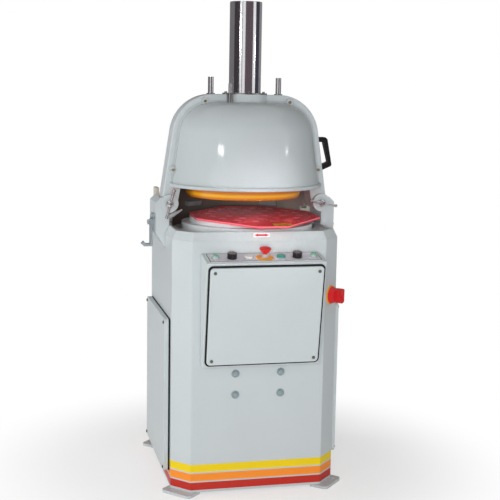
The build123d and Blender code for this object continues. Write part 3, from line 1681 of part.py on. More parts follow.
pieces = {
    "base_frame": base_frame(),
    "column_housing": column_housing(),
    "left_cover": side_cover(-1, left_cover_bottom),
    "right_cover": side_cover(1, right_cover_bottom),
    "cover_gaskets": as_group([cover_gasket(-1, left_cover_bottom), cover_gasket(1, right_cover_bottom)]),
    "housing_screws": housing_screws(),
    "rear_cover": rear_cover(),
    "cable_gland": cable_gland(),
    "control_box": control_box(),
    "control_door": control_door(),
    "door_gasket": door_gasket(),
    "control_fascia": control_fascia(),
    "button_bezels": button_bezels(),
    "start_button_left": lit_button(control_x[0]),
    "timer_knob_left": timer_knob(control_x[1]),
    "reset_button": flat_button(control_x[2]),
    "estop_disc": estop_disc(),
    "estop_button": estop_button(),
    "run_button": flat_button(control_x[4]),
    "timer_knob_right": timer_knob(control_x[5]),
    "start_button_right": lit_button(control_x[6]),
    "main_switch_plate": main_switch_plate(),
    "main_switch_knob": main_switch_knob(),
    "drive_bracket": drive_bracket(),
    "drive_bolts": drive_bolts(),
    "drive_motor": drive_motor(),
    "motor_pulley": motor_pulley(),
    "drive_belt": drive_belt(),
    "driven_pulley": driven_pulley(),
    "eccentric_shaft": eccentric_shaft(),
    "bearing_housing": bearing_housing(),
    "shaft_bearings": shaft_bearings(),
    "hydraulic_unit": hydraulic_unit(),
    "electrical_panel": electrical_panel(),
    "machine_frame": machine_frame(),
    "rear_guard": rear_guard(),
    "hinge_blocks": hinge_blocks(),
    "hinge_pins": hinge_pins(),
    "clamp_screw_left": clamp_screw(-clamp_x, clamp_left_turn),
    "clamp_screw_right": clamp_screw(clamp_x, clamp_right_turn),
    "stop_finger": stop_finger(),
    "lever_bracket": lever_bracket(),
    "hook_lever": hook_lever(),
    "orbit_table": orbit_table(),
    "plate_stops": plate_stops(),
    "moulding_plate": moulding_plate(),
    "head_arch": head_arch(),
    "front_hood": front_hood(),
    "rear_hood": rear_hood(),
    "hood_screws": hood_screws(),
    "press_tube": press_tube(),
    "tube_flange": tube_flange(),
    "rod_sleeves": rod_sleeves(),
    "bow_handle": bow_handle(),
    "press_ring": press_ring(),
    "ring_carrier": ring_carrier(),
    "press_plate": press_plate(),
    "piston_rod": piston_rod(),
    "knife_set": knife_set(),
    "indicator_rod": indicator_rod(),
}

os.makedirs("parts", exist_ok=True)
for name, piece in pieces.items():
    export_step(piece, f"parts/{name}.step")
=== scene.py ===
"""Looks of a dough divider and rounder: finishes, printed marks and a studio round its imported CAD."""

import math

import bmesh
import bpy
from bpy.props import FloatProperty, FloatVectorProperty, PointerProperty
from mathutils import Matrix, Vector


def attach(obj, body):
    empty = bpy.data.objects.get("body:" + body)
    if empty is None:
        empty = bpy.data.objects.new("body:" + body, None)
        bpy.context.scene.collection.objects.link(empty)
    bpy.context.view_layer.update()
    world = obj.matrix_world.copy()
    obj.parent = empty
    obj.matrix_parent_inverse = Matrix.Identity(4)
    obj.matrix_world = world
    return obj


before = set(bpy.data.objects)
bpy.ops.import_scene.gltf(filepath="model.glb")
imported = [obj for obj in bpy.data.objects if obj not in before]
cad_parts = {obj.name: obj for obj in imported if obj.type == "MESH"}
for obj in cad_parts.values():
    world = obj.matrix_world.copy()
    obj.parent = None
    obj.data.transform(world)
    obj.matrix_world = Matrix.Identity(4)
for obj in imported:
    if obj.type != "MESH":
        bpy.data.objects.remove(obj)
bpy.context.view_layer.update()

bl_info = {
    "name": "Dough divider looks",
    "version": (1, 0, 0),
    "blender": (4, 5, 0),
    "location": "View3D > Sidebar > Divider",
    "description": "Finishes, printed marks and a studio for a dough divider and rounder",
    "category": "Object",
}

MM = 0.001
# Width of the picture and focal length of the camera that fits it, in pixels
PICTURE_PIXELS = 500
FOCAL_PIXELS = 1070.07


def tone(red, green, blue):
    """Linear colour of a shade given as it shows on a screen, 0 to 255."""
    shown = [value / 255 for value in (red, green, blue)]
    return tuple(v / 12.92 if v <= 0.04045 else ((v + 0.055) / 1.055) ** 2.4 for v in shown)


def shaded(colour, factor):
    """The colour made lighter or darker, as a shader's colour with full cover."""
    return (*(min(1.0, value * factor) for value in colour[:3]), 1.0)


def cover(colour):
    """The colour as it is, as a shader's colour with full cover."""
    return shaded(colour, 1)


class Wire:
    """A value inside a node tree that takes part in sums like a number."""

    def __init__(self, sheet, socket):
        self.sheet = sheet
        self.socket = socket

    def maths(self, operation, *values):
        return self.sheet.node("ShaderNodeMath", {"operation": operation}, dict(enumerate(values)))

    def __add__(self, other):
        return self.maths("ADD", self, other)

    def __radd__(self, other):
        return self.maths("ADD", other, self)

    def __sub__(self, other):
        return self.maths("SUBTRACT", self, other)

    def __rsub__(self, other):
        return self.maths("SUBTRACT", other, self)

    def __mul__(self, other):
        return self.maths("MULTIPLY", self, other)

    def larger(self, other):
        return self.maths("MAXIMUM", self, other)


class NodeSheet:
    """A node tree with one way to add any node to it."""

    def __init__(self, tree):
        self.tree = tree

    def node(self, kind, settings=None, sockets=None, output=0):
        """Adds a node, its settings first and then its sockets, and gives one of its outputs."""
        made = self.tree.nodes.new(kind)
        for name, value in (settings or {}).items():
            setattr(made, name, value)
        for key, value in (sockets or {}).items():
            self.feed(made.inputs[key], value)
        return Wire(self, made.outputs[output]) if made.outputs else None

    def feed(self, socket, value):
        if isinstance(value, Wire):
            self.tree.links.new(value.socket, socket)
        else:
            socket.default_value = value

    def vector(self, operation, *values, output=0):
        return self.node(
            "ShaderNodeVectorMath", {"operation": operation}, dict(enumerate(values)), output
        )

    def rise(self, value, low, high):
        """0 below low, 1 above high, with a soft step between them."""
        sockets = {"Value": value, "From Min": low, "From Max": high}
        return self.node("ShaderNodeMapRange", {"interpolation_type": "SMOOTHSTEP"}, sockets)

    def band(self, value, low, high, soft):
        """1 between low and high, 0 elsewhere."""
        return self.rise(value, low - soft, low + soft) * (1 - self.rise(value, high - soft, high + soft))

    def blend(self, mask, first, second):
        """The first colour where the mask is 0 and the second where it is 1."""
        sockets = {0: mask, 6: first, 7: second}
        return self.node("ShaderNodeMix", {"data_type": "RGBA"}, sockets, 2)


class Finish(NodeSheet):
    """A material whose colour, gloss and relief vary over the piece."""

    def __init__(self, name, constants=None):
        self.material = bpy.data.materials.new(name)
        self.material.use_nodes = True
        super().__init__(self.material.node_tree)
        self.shader = self.tree.nodes["Principled BSDF"]
        self.place = self.node("ShaderNodeTexCoord", output="Object")
        for socket, value in (constants or {}).items():
            self.shader.inputs[socket].default_value = value

    def set(self, socket, value):
        self.feed(self.shader.inputs[socket], value)

    def axis(self, letter):
        return self.node("ShaderNodeSeparateXYZ", sockets={0: self.place}, output=letter)

    def noise(self, scale, detail, stretch=(1, 1, 1)):
        """Cloudy values round 0.5, scale to a metre, longer in some directions if stretched."""
        drawn = self.vector("MULTIPLY", self.place, stretch)
        sockets = {"Vector": drawn, "Scale": scale, "Detail": detail}
        return self.node("ShaderNodeTexNoise", {"noise_dimensions": "3D"}, sockets)

    def rings(self, centre, scale, detail):
        """Tool rings round an upright axis, as a lathe leaves them."""
        off = self.vector("SUBTRACT", self.place, centre)
        flat = self.vector("MULTIPLY", off, (1, 1, 0))
        reach = self.vector("LENGTH", flat, output="Value")
        sockets = {"W": reach, "Scale": scale, "Detail": detail}
        return self.node("ShaderNodeTexNoise", {"noise_dimensions": "1D"}, sockets)

    def rounded_normal(self, radius):
        return self.node("ShaderNodeBevel", {"samples": 4}, {"Radius": radius})

    def edges(self, radius):
        """1 along sharp edges, 0 on open faces."""
        true_normal = self.node("ShaderNodeNewGeometry", output="Normal")
        same = self.vector("DOT_PRODUCT", self.rounded_normal(radius), true_normal, output="Value")
        return self.rise(same, 0.995, 0.86)

    def relief(self, height, distance, strength, edge):
        """Bump from a height of 0 to 1, with the edges softened to a radius."""
        sockets = {"Height": height, "Distance": distance, "Strength": strength}
        sockets["Normal"] = self.rounded_normal(edge)
        self.set("Normal", self.node("ShaderNodeBump", sockets=sockets))


def dress(finish, *nodes):
    """Puts a finish on CAD nodes."""
    for node in nodes:
        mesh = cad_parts[node].data
        mesh.materials.clear()
        mesh.materials.append(finish.material)


def colour_setting(name, description, default):
    """A colour that a user can change."""
    return FloatVectorProperty(
        name=name, description=description, subtype="COLOR", size=3, default=default, min=0, max=1
    )


def length_setting(name, description, default):
    """A length that a user can change."""
    return FloatProperty(
        name=name, description=description, subtype="DISTANCE", unit="LENGTH", default=default, min=0
    )


def power_setting(name, description, default):
    """A lamp's power that a user can change."""
    return FloatProperty(
        name=name, description=description, subtype="POWER", unit="POWER", default=default, min=0
    )


class PaintSettings(bpy.types.PropertyGroup):
    """Enamel colours and the stripes round the foot of the column."""

    sheet: colour_setting(
        "Sheet enamel", "Pale grey enamel of the housing, covers and control box", tone(196, 203, 205)
    )
    hood: colour_setting("Hood enamel", "Pale grey enamel of the two hoods", tone(185, 192, 194))
    casting: colour_setting("Casting enamel", "Pale grey enamel of the castings", tone(195, 202, 204))
    # Cream tint of the hinge blocks is a painted reflection of warm light from nearby parts.
    hinge: colour_setting("Hinge enamel", "Cream enamel of the hinge blocks", tone(214, 206, 190))
    guard: colour_setting(
        "Guard enamel", "Warm grey enamel of the guard behind the table", tone(128, 118, 112)
    )
    door: colour_setting(
        "Door enamel", "Slightly lighter enamel of the control box door", tone(198, 206, 208)
    )
    stripe_low: colour_setting("Lowest stripe", "Red stripe next to the floor", tone(190, 48, 38))
    stripe_middle: colour_setting("Middle stripe", "Orange stripe", tone(246, 144, 48))
    stripe_high: colour_setting("Highest stripe", "Yellow stripe", tone(236, 206, 22))
    stripe_start: length_setting("Stripe start", "Height of the lowest stripe's lower edge", 18 * MM)
    stripe_height: length_setting("Stripe height", "Height of each stripe", 27 * MM)
    stripe_gap: length_setting("Stripe gap", "Bare enamel between two stripes", 5 * MM)


class PlasticSettings(bpy.types.PropertyGroup):
    """Colours of the plastic and rubber pieces."""

    plate: colour_setting("Moulding plate", "Red plastic of the moulding plate", tone(254, 64, 80))
    ring: colour_setting(
        "Pressing ring", "Golden yellow plastic of the pressing ring", tone(218, 122, 18)
    )
    # Painted sheen: the paler band stands in for light reflected round the ring.
    ring_sheen: colour_setting("Ring band", "Paler band round the pressing ring", tone(250, 186, 14))
    switch_red: colour_setting(
        "Switch red", "Red of the emergency stop and the main switch", tone(214, 30, 34)
    )
    switch_yellow: colour_setting(
        "Switch yellow", "Orange yellow of the switch plates", tone(245, 170, 40)
    )
    green: colour_setting("Start buttons", "Green of the two start buttons", tone(120, 182, 156))
    teal: colour_setting("Run button", "Teal of the run button", tone(8, 140, 125))
    white: colour_setting("Reset button", "White of the reset button", tone(228, 226, 224))
    fascia: colour_setting("Fascia field", "Pale field of the printed fascia", tone(222, 219, 228))
    fascia_line: colour_setting("Fascia border", "Green line round the fascia", tone(40, 112, 72))
    black: colour_setting(
        "Black plastic", "Black of the knobs, the bow handle and small fittings", tone(24, 21, 24)
    )


class MarkSettings(bpy.types.PropertyGroup):
    """Sizes of the printed marks and labels."""

    label_width: length_setting(
        "Arrow label width", "Width of the white label on the front bevel", 57 * MM
    )
    label_height: length_setting(
        "Arrow label height", "Height of the white label up the bevel", 14.5 * MM
    )
    border_width: length_setting("Border width", "Width of the green line round the fascia", 3.2 * MM)
    border_inset: length_setting(
        "Border inset", "Distance of the green line from the fascia's edge", 2.5 * MM
    )
    print_thickness: length_setting(
        "Print thickness", "How far print and labels stand proud", 0.25 * MM
    )


class StageSettings(bpy.types.PropertyGroup):
    """Camera, lamps and background of the studio."""

    eye: FloatVectorProperty(
        name="Camera place", description="Where the camera stands",
        subtype="TRANSLATION", unit="LENGTH", size=3, default=(-0.8640, -3.7839, 1.3798),
    )
    target: FloatVectorProperty(
        name="Camera target", description="Point at the middle of the picture",
        subtype="TRANSLATION", unit="LENGTH", size=3, default=(0.0276, -0.035, 0.8129),
    )
    roll: FloatProperty(
        name="Camera roll", description="Turn of the camera about its view",
        subtype="ANGLE", unit="ROTATION", default=math.radians(1.0),
    )
    focal_ratio: FloatProperty(
        name="Focal ratio", description="Focal length over the picture's width",
        default=FOCAL_PIXELS / PICTURE_PIXELS, min=0.1,
    )
    ambient: FloatProperty(
        name="Ambient light", description="Strength of the even light from all round",
        default=0.25, min=0,
    )
    key_power: power_setting("Key lamp", "Power of the soft lamp high on the left", 10)
    front_power: power_setting("Front lamp", "Power of the soft lamp beside the camera", 77)
    side_power: power_setting("Side lamp", "Power of the soft lamp low on the left", 68)
    fill_power: power_setting("Fill lamp", "Power of the soft lamp on the right", 12)
    table_power: power_setting(
        "Table lamp", "Power of the narrow lamp aimed under the head at the table", 0.16
    )
    sparkle_power: power_setting(
        "Sparkle lamps", "Power to a metre of the two slim lamps that show as glints on the hood", 5
    )


def enamel(name, colour, stripes=(), peel=1.0, gloss=0.15):
    """Stoved enamel: faint clouds, fine orange peel, a painted highlight paler along the edges, dusty near
    the floor.
    """
    finish = Finish(name, {"Coat Weight": gloss, "Coat Roughness": 0.04, "Specular IOR Level": 0.3})
    clouds = finish.noise(4.5, 3)
    specks = finish.noise(520, 1)
    height = finish.axis("Z")
    shade = finish.blend(clouds * 0.65 + specks * 0.35, shaded(colour, 0.93), shaded(colour, 1.07))
    bare = 1.0
    for low, high, stripe in stripes:
        painted = finish.band(height, low, high, 0.25 * MM)
        bare = bare - painted
        tint = finish.blend(clouds * 0.5 + specks * 0.5, shaded(stripe, 0.94), shaded(stripe, 1.06))
        shade = finish.blend(painted, shade, tint)
    # Painted highlight: edges paler, as if they catch the light.
    edge_tint = finish.edges(1.6 * MM) * 0.25
    shade = finish.blend(edge_tint, shade, shaded(colour, 1.18))
    dust = (1 - finish.rise(height, 0.01, 0.16)) * finish.noise(30, 4) * 0.22 * bare
    finish.set("Base Color", finish.blend(dust, shade, cover(tone(150, 146, 138))))
    finish.set("Roughness", 0.26 + 0.3 * gloss + clouds * 0.12 + dust * 0.5)
    if stripes:
        finish.set("Coat Weight", bare * gloss)
    finish.relief(finish.noise(170, 2), 0.12 * MM * peel, 0.5, 1.2 * MM)
    return finish


def chrome(name, polish):
    """Bright plated steel with faint polishing lines and handling haze."""
    finish = Finish(name, {"Metallic": 1.0})
    dull, bright = cover(tone(212, 212, 214)), cover(tone(228, 228, 230))
    haze = finish.noise(14, 4)
    lines = finish.noise(60, 3, polish)
    finish.set("Base Color", finish.blend(haze, dull, bright))
    finish.set("Roughness", 0.05 + haze * 0.06 + lines * 0.06)
    finish.relief(lines, 0.01 * MM, 0.3, 0.6 * MM)
    return finish


def steel(name, colour, rough, scratch=(1, 1, 1), metal=1.0):
    """Plain or zinc-plated steel, uneven in gloss, with a painted highlight brighter along its edges."""
    finish = Finish(name, {"Metallic": metal})
    patches = finish.noise(45, 4)
    lines = finish.noise(130, 3, scratch)
    shade = finish.blend(patches, shaded(colour, 0.8), shaded(colour, 1.12))
    # Painted highlight: edges brighter, as if they catch the light.
    finish.set("Base Color", finish.blend(finish.edges(0.8 * MM) * 0.4, shade, shaded(colour, 1.4)))
    finish.set("Roughness", rough + patches * 0.14 + lines * 0.1 - 0.1)
    finish.relief(lines, 0.02 * MM, 0.4, 0.5 * MM)
    return finish


def turned(name, colour, centre, rough, metal=1.0):
    """Metal turned on a lathe, with fine tool rings."""
    finish = Finish(name, {"Metallic": metal})
    rings = finish.rings(centre, 1400, 3)
    patches = finish.noise(25, 3)
    shade = finish.blend(rings * 0.6 + patches * 0.4, shaded(colour, 0.8), shaded(colour, 1.15))
    finish.set("Base Color", shade)
    finish.set("Roughness", rough + rings * 0.12 + patches * 0.08)
    finish.relief(rings, 0.03 * MM, 0.5, 0.8 * MM)
    return finish


def cast_iron(name, colour):
    """Rough sand casting, lightly oiled."""
    finish = Finish(name, {"Metallic": 0.75})
    sand = finish.noise(650, 3)
    patches = finish.noise(18, 4)
    finish.set("Base Color", finish.blend(patches, shaded(colour, 0.7), shaded(colour, 1.3)))
    finish.set("Roughness", 0.4 + patches * 0.25)
    finish.relief(sand, 0.25 * MM, 0.6, 1.0 * MM)
    return finish


def plastic(name, colour, rough, grain, constants=None):
    """Moulded plastic with a fine surface grain, faint flow clouds and a painted highlight along its
    edges.
    """
    finish = Finish(name, constants)
    clouds = finish.noise(35, 3)
    skin = finish.noise(grain, 2)
    shade = finish.blend(clouds, shaded(colour, 0.9), shaded(colour, 1.1))
    # Painted highlight: edges paler, as if they catch the light.
    finish.set("Base Color", finish.blend(finish.edges(0.7 * MM) * 0.3, shade, shaded(colour, 1.35)))
    finish.set("Roughness", rough + clouds * 0.1 + skin * 0.06)
    finish.relief(skin, 0.04 * MM, 0.5, 0.5 * MM)
    return finish


def printed(name, colour):
    """Matt print or label stock."""
    return plastic(name, colour, rough=0.4, grain=900)


def rubber(name, colour):
    """Matt black rubber, dusty in places."""
    finish = Finish(name, {"Specular IOR Level": 0.3})
    dust = finish.noise(60, 4)
    skin = finish.noise(900, 2)
    finish.set("Base Color", finish.blend(dust, shaded(colour, 0.7), shaded(colour, 1.5)))
    finish.set("Roughness", 0.62 + dust * 0.2)
    finish.relief(skin, 0.08 * MM, 0.6, 0.6 * MM)
    return finish


def rounded_outline(width, height, corner, steps=6):
    """Corner points of a rectangle with round corners, about the origin."""
    points = []
    for turn, (x, y) in enumerate(((1, 1), (-1, 1), (-1, -1), (1, -1))):
        for step in range(steps + 1):
            angle = math.radians(90 * turn + 90 * step / steps)
            across = x * (width / 2 - corner) + corner * math.cos(angle)
            along = y * (height / 2 - corner) + corner * math.sin(angle)
            points.append((across, along))
    return points


def moved(outline, x, y, angle=0.0):
    """The outline turned about the origin and then moved."""
    cosine, sine = math.cos(angle), math.sin(angle)
    return [
        (x + cosine * across - sine * along, y + sine * across + cosine * along)
        for across, along in outline
    ]


def add_slab(mesh, outline, low, high, inner=None):
    """Closed prism on an outline, or a closed ring where an inner outline is given."""
    def level(points, z):
        return [mesh.verts.new((x, y, z)) for x, y in points]

    def wall(bottom, top):
        count = len(bottom)
        for i in range(count):
            j = (i + 1) % count
            mesh.faces.new((bottom[i], bottom[j], top[j], top[i]))

    bottom, top = level(outline, low), level(outline, high)
    wall(bottom, top)
    if inner is None:
        mesh.faces.new(list(reversed(bottom)))
        mesh.faces.new(top)
        return
    inner_bottom, inner_top = level(inner, low), level(inner, high)
    wall(list(reversed(inner_bottom)), list(reversed(inner_top)))
    wall(list(reversed(bottom)), list(reversed(inner_bottom)))
    wall(top, inner_top)


def add_turned(mesh, profile, steps=40):
    """Closed round solid from (radius, height) points that start and end on the axis."""
    rows = []
    for radius, height in profile[1:-1]:
        angles = [2 * math.pi * step / steps for step in range(steps)]
        rows.append([mesh.verts.new((radius * math.cos(a), radius * math.sin(a), height)) for a in angles])
    start = mesh.verts.new((0, 0, profile[0][1]))
    end = mesh.verts.new((0, 0, profile[-1][1]))
    for i in range(steps):
        j = (i + 1) % steps
        mesh.faces.new((start, rows[0][j], rows[0][i]))
        mesh.faces.new((end, rows[-1][i], rows[-1][j]))
        for lower, upper in zip(rows, rows[1:]):
            mesh.faces.new((lower[i], lower[j], upper[j], upper[i]))


def add_piece(name, mesh, where, body, finish, smooth=False):
    """Turns a bmesh into a piece that rides on a body and takes its finish."""
    bmesh.ops.transform(mesh, matrix=where, verts=mesh.verts)
    bmesh.ops.recalc_face_normals(mesh, faces=mesh.faces)
    data = bpy.data.meshes.new(name)
    mesh.to_mesh(data)
    mesh.free()
    if smooth:
        data.shade_smooth()
    data.materials.append(finish.material)
    piece = bpy.data.objects.new(name, data)
    bpy.context.scene.collection.objects.link(piece)
    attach(piece, body)


def plane_at(origin, across, normal):
    """Matrix that puts drawn things on a plane: x across it, z square to it."""
    across, normal = Vector(across).normalized(), Vector(normal).normalized()
    up = normal.cross(across)
    turn = Matrix((across, up, normal)).transposed().to_4x4()
    return Matrix.Translation(Vector(origin)) @ turn


# Sloping top of the control box, where the fascia lies
PANEL_DEPTH = 104.5 * MM
PANEL_RISE = 18.0 * MM
PANEL_MIDDLE = Vector((0, -357.25, 836.0)) * MM
FASCIA_THICKNESS = 1.5 * MM
PANEL_NORMAL = Vector((0, -PANEL_RISE, PANEL_DEPTH)).normalized()
PANEL_ORIGIN = PANEL_MIDDLE + PANEL_NORMAL * FASCIA_THICKNESS
PANEL = plane_at(PANEL_ORIGIN, (1, 0, 0), PANEL_NORMAL)
FASCIA_SIZE = (388 * MM, 88 * MM)
FRAME_OUTER_CORNER = 3.2 * MM
FRAME_INNER_CORNER = 1.4 * MM
LINE_GAP = 0.4 * MM
LINE_WIDTH = 1.4 * MM

# Controls on the fascia: places across and up it, heights above it, angles in degrees
CONTROL_PITCH = 56 * MM
CONTROL_ROW = -9 * MM
KNOB_PLACES = {"left": -2 * CONTROL_PITCH, "right": 2 * CONTROL_PITCH}
# Heights above the fascia where the painted highlight on the knobs' tops starts and is full
KNOB_HIGHLIGHT_START = 17.5 * MM
KNOB_HIGHLIGHT_FULL = 19.5 * MM
TICK_COUNT = 11
TICK_FIRST_ANGLE = 225
TICK_TURN = 27
TICK_SIZE = (3.2 * MM, 0.8 * MM)
TICK_RADIUS = 20.5 * MM
POINTER_SIZE = (1.5 * MM, 10.2 * MM)
POINTER_RADIUS = 10.2 * MM
POINTER_LOW = 18.9 * MM
POINTER_HIGH = 19.6 * MM
FINE_CORNER = 0.2 * MM
FINE_STEPS = 2

# Front bevel of the casting, its label and the arrow, whose sizes are shares of the label's
BEVEL_RISE = 29.0 * MM
BEVEL_DEPTH = 10.0 * MM
BEVEL_NORMAL = Vector((0, -BEVEL_RISE, BEVEL_DEPTH)).normalized()
LABEL_CENTRE = Vector((4.5, -298.8, 903.0)) * MM
LABEL_CORNER = 1.5 * MM
ARROW_LENGTH_SHARE = 0.88
ARROW_HEIGHT_SHARE = 0.7
# Shares of the arrow's own length and height, and its top in thicknesses of print
ARROW_HEAD_SHARE = 0.24
ARROW_SHAFT_SHARE = 0.6
ARROW_LIFT = 1.6

# Moulding plate, its dimples' depths below its face, and its sticker
PLATE_LEAN = math.radians(1.9)
PLATE_CENTRE = Vector((35, -55, 946)) * MM
PLATE_NORMAL = Vector((0, -math.sin(PLATE_LEAN), math.cos(PLATE_LEAN)))
DIMPLE_FLOOR = -4 * MM
DIMPLE_RIM = -0.8 * MM
STICKER_PLACE = Vector((79.4, -295)) * MM
STICKER_EDGE = (66.5, -6.0, -0.2)
STICKER_SIZE = (66 * MM, 38 * MM)
STICKER_CORNER = 2 * MM

# Pressing ring's heights above the floor, for the painted shade at its lip and its band of painted sheen,
# and the axes of the turned pieces
RING_LIP_LOW = 1.011
RING_LIP_HIGH = 1.019
RING_SHEEN_LOW = 1.021
RING_SHEEN_HIGH = 1.031
TABLE_CENTRE = (12.73 * MM, -39.73 * MM, 0)
PRESS_CENTRE = (0, -27 * MM, 0)

# Guard behind the table, from the painted shade at its left to the painted light at its right
GUARD_SHADE_X = -0.2
GUARD_LIGHT_X = 0.3

# Dome bolts on the right side, their places in millimetres
SIDE_BOLTS = {"cheek_bolt": (326, -72, 911), "column_bolt": (292.5, -222, 869)}
BOLT_RADIUS = 7.0 * MM
BOLT_HEIGHT = 5.5 * MM
BOLT_SINK = 0.5 * MM

# Studio: the sensor in millimetres, level directions to the camera and to its right, places in metres
SENSOR_WIDTH = 36
CAMERA_SIDE = Vector((-0.2241, -0.9746, 0))
CAMERA_RIGHT = Vector((0.9746, -0.2241, 0))
LAMP_AIM = (0, 0, 0.9)
TABLE_LAMP_PLACE = (-0.4, -2.8, 2.0)
TABLE_LAMP_SIZE = (0.25, 0.25)
TABLE_LAMP_AIM = (0.03, -0.2, 0.935)
TABLE_LAMP_SPREAD = math.radians(8)
SPARKLE_REACH = 3.0
SPARKLE_THICKNESS = 0.05
FLOOR_HALF = 40.0
FLOOR_SHADE_REACH = 0.45
FLOOR_WHITE_REACH = 1.1
FLOOR_NEAR_WHITE = 0.55
CARD_RADIUS = 2.7
CARD_LOW = 0.25
CARD_HIGH = 4.2
CARD_STEPS = 12


class DIVIDER_OT_painted_sheet(bpy.types.Operator):
    """Enamel on the housing, covers, control box, hoods and guard, with the stripes round the foot"""

    bl_idname = "divider.painted_sheet"
    bl_label = "Paint the sheet metal"

    def execute(self, context):
        paint = context.scene.divider_paint
        step = paint.stripe_height + paint.stripe_gap
        colours = (paint.stripe_low, paint.stripe_middle, paint.stripe_high)
        stripes = []
        for row, colour in enumerate(colours):
            low = paint.stripe_start + row * step
            stripes.append((low, low + paint.stripe_height, colour))
        dress(enamel("striped_enamel", paint.sheet, stripes), "column_housing")
        plain = enamel("sheet_enamel", paint.sheet)
        dress(plain, "left_cover", "right_cover", "rear_cover", "control_box", "base_frame")
        dress(enamel("hood_enamel", paint.hood, peel=0.4, gloss=0.45), "front_hood", "rear_hood")
        dress(self.guard_finish(paint.guard), "rear_guard")
        dress(enamel("door_enamel", paint.door), "control_door")
        return {"FINISHED"}

    def guard_finish(self, colour):
        """Warm grey enamel with painted light paler towards the right and painted shade darker towards the
        left.
        """
        finish = Finish("guard_enamel", {"Specular IOR Level": 0.3})
        streaks = finish.noise(9, 4, (1, 1, 3))
        # Painted light and shade: lighter towards the right and darker towards the left, as the light
        # falls.
        across = finish.rise(finish.axis("X") + streaks * 0.1, GUARD_SHADE_X, GUARD_LIGHT_X)
        finish.set("Base Color", finish.blend(across, shaded(colour, 0.45), shaded(colour, 1.5)))
        finish.set("Roughness", 0.4 + streaks * 0.25)
        finish.relief(finish.noise(170, 2), 0.1 * MM, 0.5, 1.0 * MM)
        return finish


class DIVIDER_OT_painted_castings(bpy.types.Operator):
    """Enamel on the top casting, the hinge blocks and the head's arch"""

    bl_idname = "divider.painted_castings"
    bl_label = "Paint the castings"

    def execute(self, context):
        paint = context.scene.divider_paint
        dress(enamel("casting_enamel", paint.casting, peel=1.6), "machine_frame", "head_arch")
        dress(enamel("hinge_enamel", paint.hinge, peel=1.6), "hinge_blocks")
        return {"FINISHED"}


class DIVIDER_OT_bright_metal(bpy.types.Operator):
    """Chrome on the press tube and rods, bright steel on the bezels and clamp screws"""

    bl_idname = "divider.bright_metal"
    bl_label = "Plate the bright metal"

    def execute(self, context):
        plated = chrome("tube_chrome", polish=(0.2, 0.2, 12))
        dress(plated, "press_tube", "piston_rod", "indicator_rod", "ring_carrier")
        dress(steel("bezel_bright", tone(226, 228, 230), rough=0.22, metal=0.7), "button_bezels")
        clamps = steel("clamp_bright", tone(224, 224, 226), rough=0.16, metal=0.9)
        dress(clamps, "clamp_screw_left", "clamp_screw_right")
        return {"FINISHED"}


class DIVIDER_OT_machined_metal(bpy.types.Operator):
    """Steel, iron and turned metal of the working parts, and enamel on the motor and hydraulic unit"""

    bl_idname = "divider.machined_metal"
    bl_label = "Finish the machined metal"

    def execute(self, context):
        zinc = steel("zinc_plate", tone(186, 196, 200), rough=0.36, metal=0.7)
        dress(zinc, "lever_bracket", "hook_lever", "plate_stops")
        dress(steel("dome_plate", tone(158, 174, 178), rough=0.3, metal=0.35), "drive_bolts")
        dress(steel("screw_olive", tone(128, 132, 112), rough=0.34), "housing_screws")
        dress(steel("finger_steel", tone(216, 218, 218), rough=0.3, metal=0.55), "stop_finger")
        dress(steel("screw_brass", tone(214, 200, 166), rough=0.3), "hood_screws")
        fixings = steel("fixing_steel", tone(176, 176, 176), rough=0.3)
        dress(fixings, "hinge_pins", "tube_flange", "rod_sleeves", "eccentric_shaft", "shaft_bearings")
        dress(steel("knife_steel", tone(178, 180, 182), rough=0.24, scratch=(0.3, 0.3, 4)), "knife_set")
        dress(turned("press_aluminium", tone(196, 197, 198), PRESS_CENTRE, rough=0.22), "press_plate")
        table = turned("table_aluminium", tone(224, 231, 234), TABLE_CENTRE, rough=0.38, metal=0.15)
        dress(table, "orbit_table")
        iron = cast_iron("pulley_iron", tone(92, 92, 92))
        dress(iron, "motor_pulley", "driven_pulley", "bearing_housing")
        dress(steel("bracket_steel", tone(120, 124, 126), rough=0.45), "drive_bracket")
        dress(enamel("motor_enamel", tone(92, 112, 124), peel=2.0), "drive_motor", "hydraulic_unit")
        return {"FINISHED"}


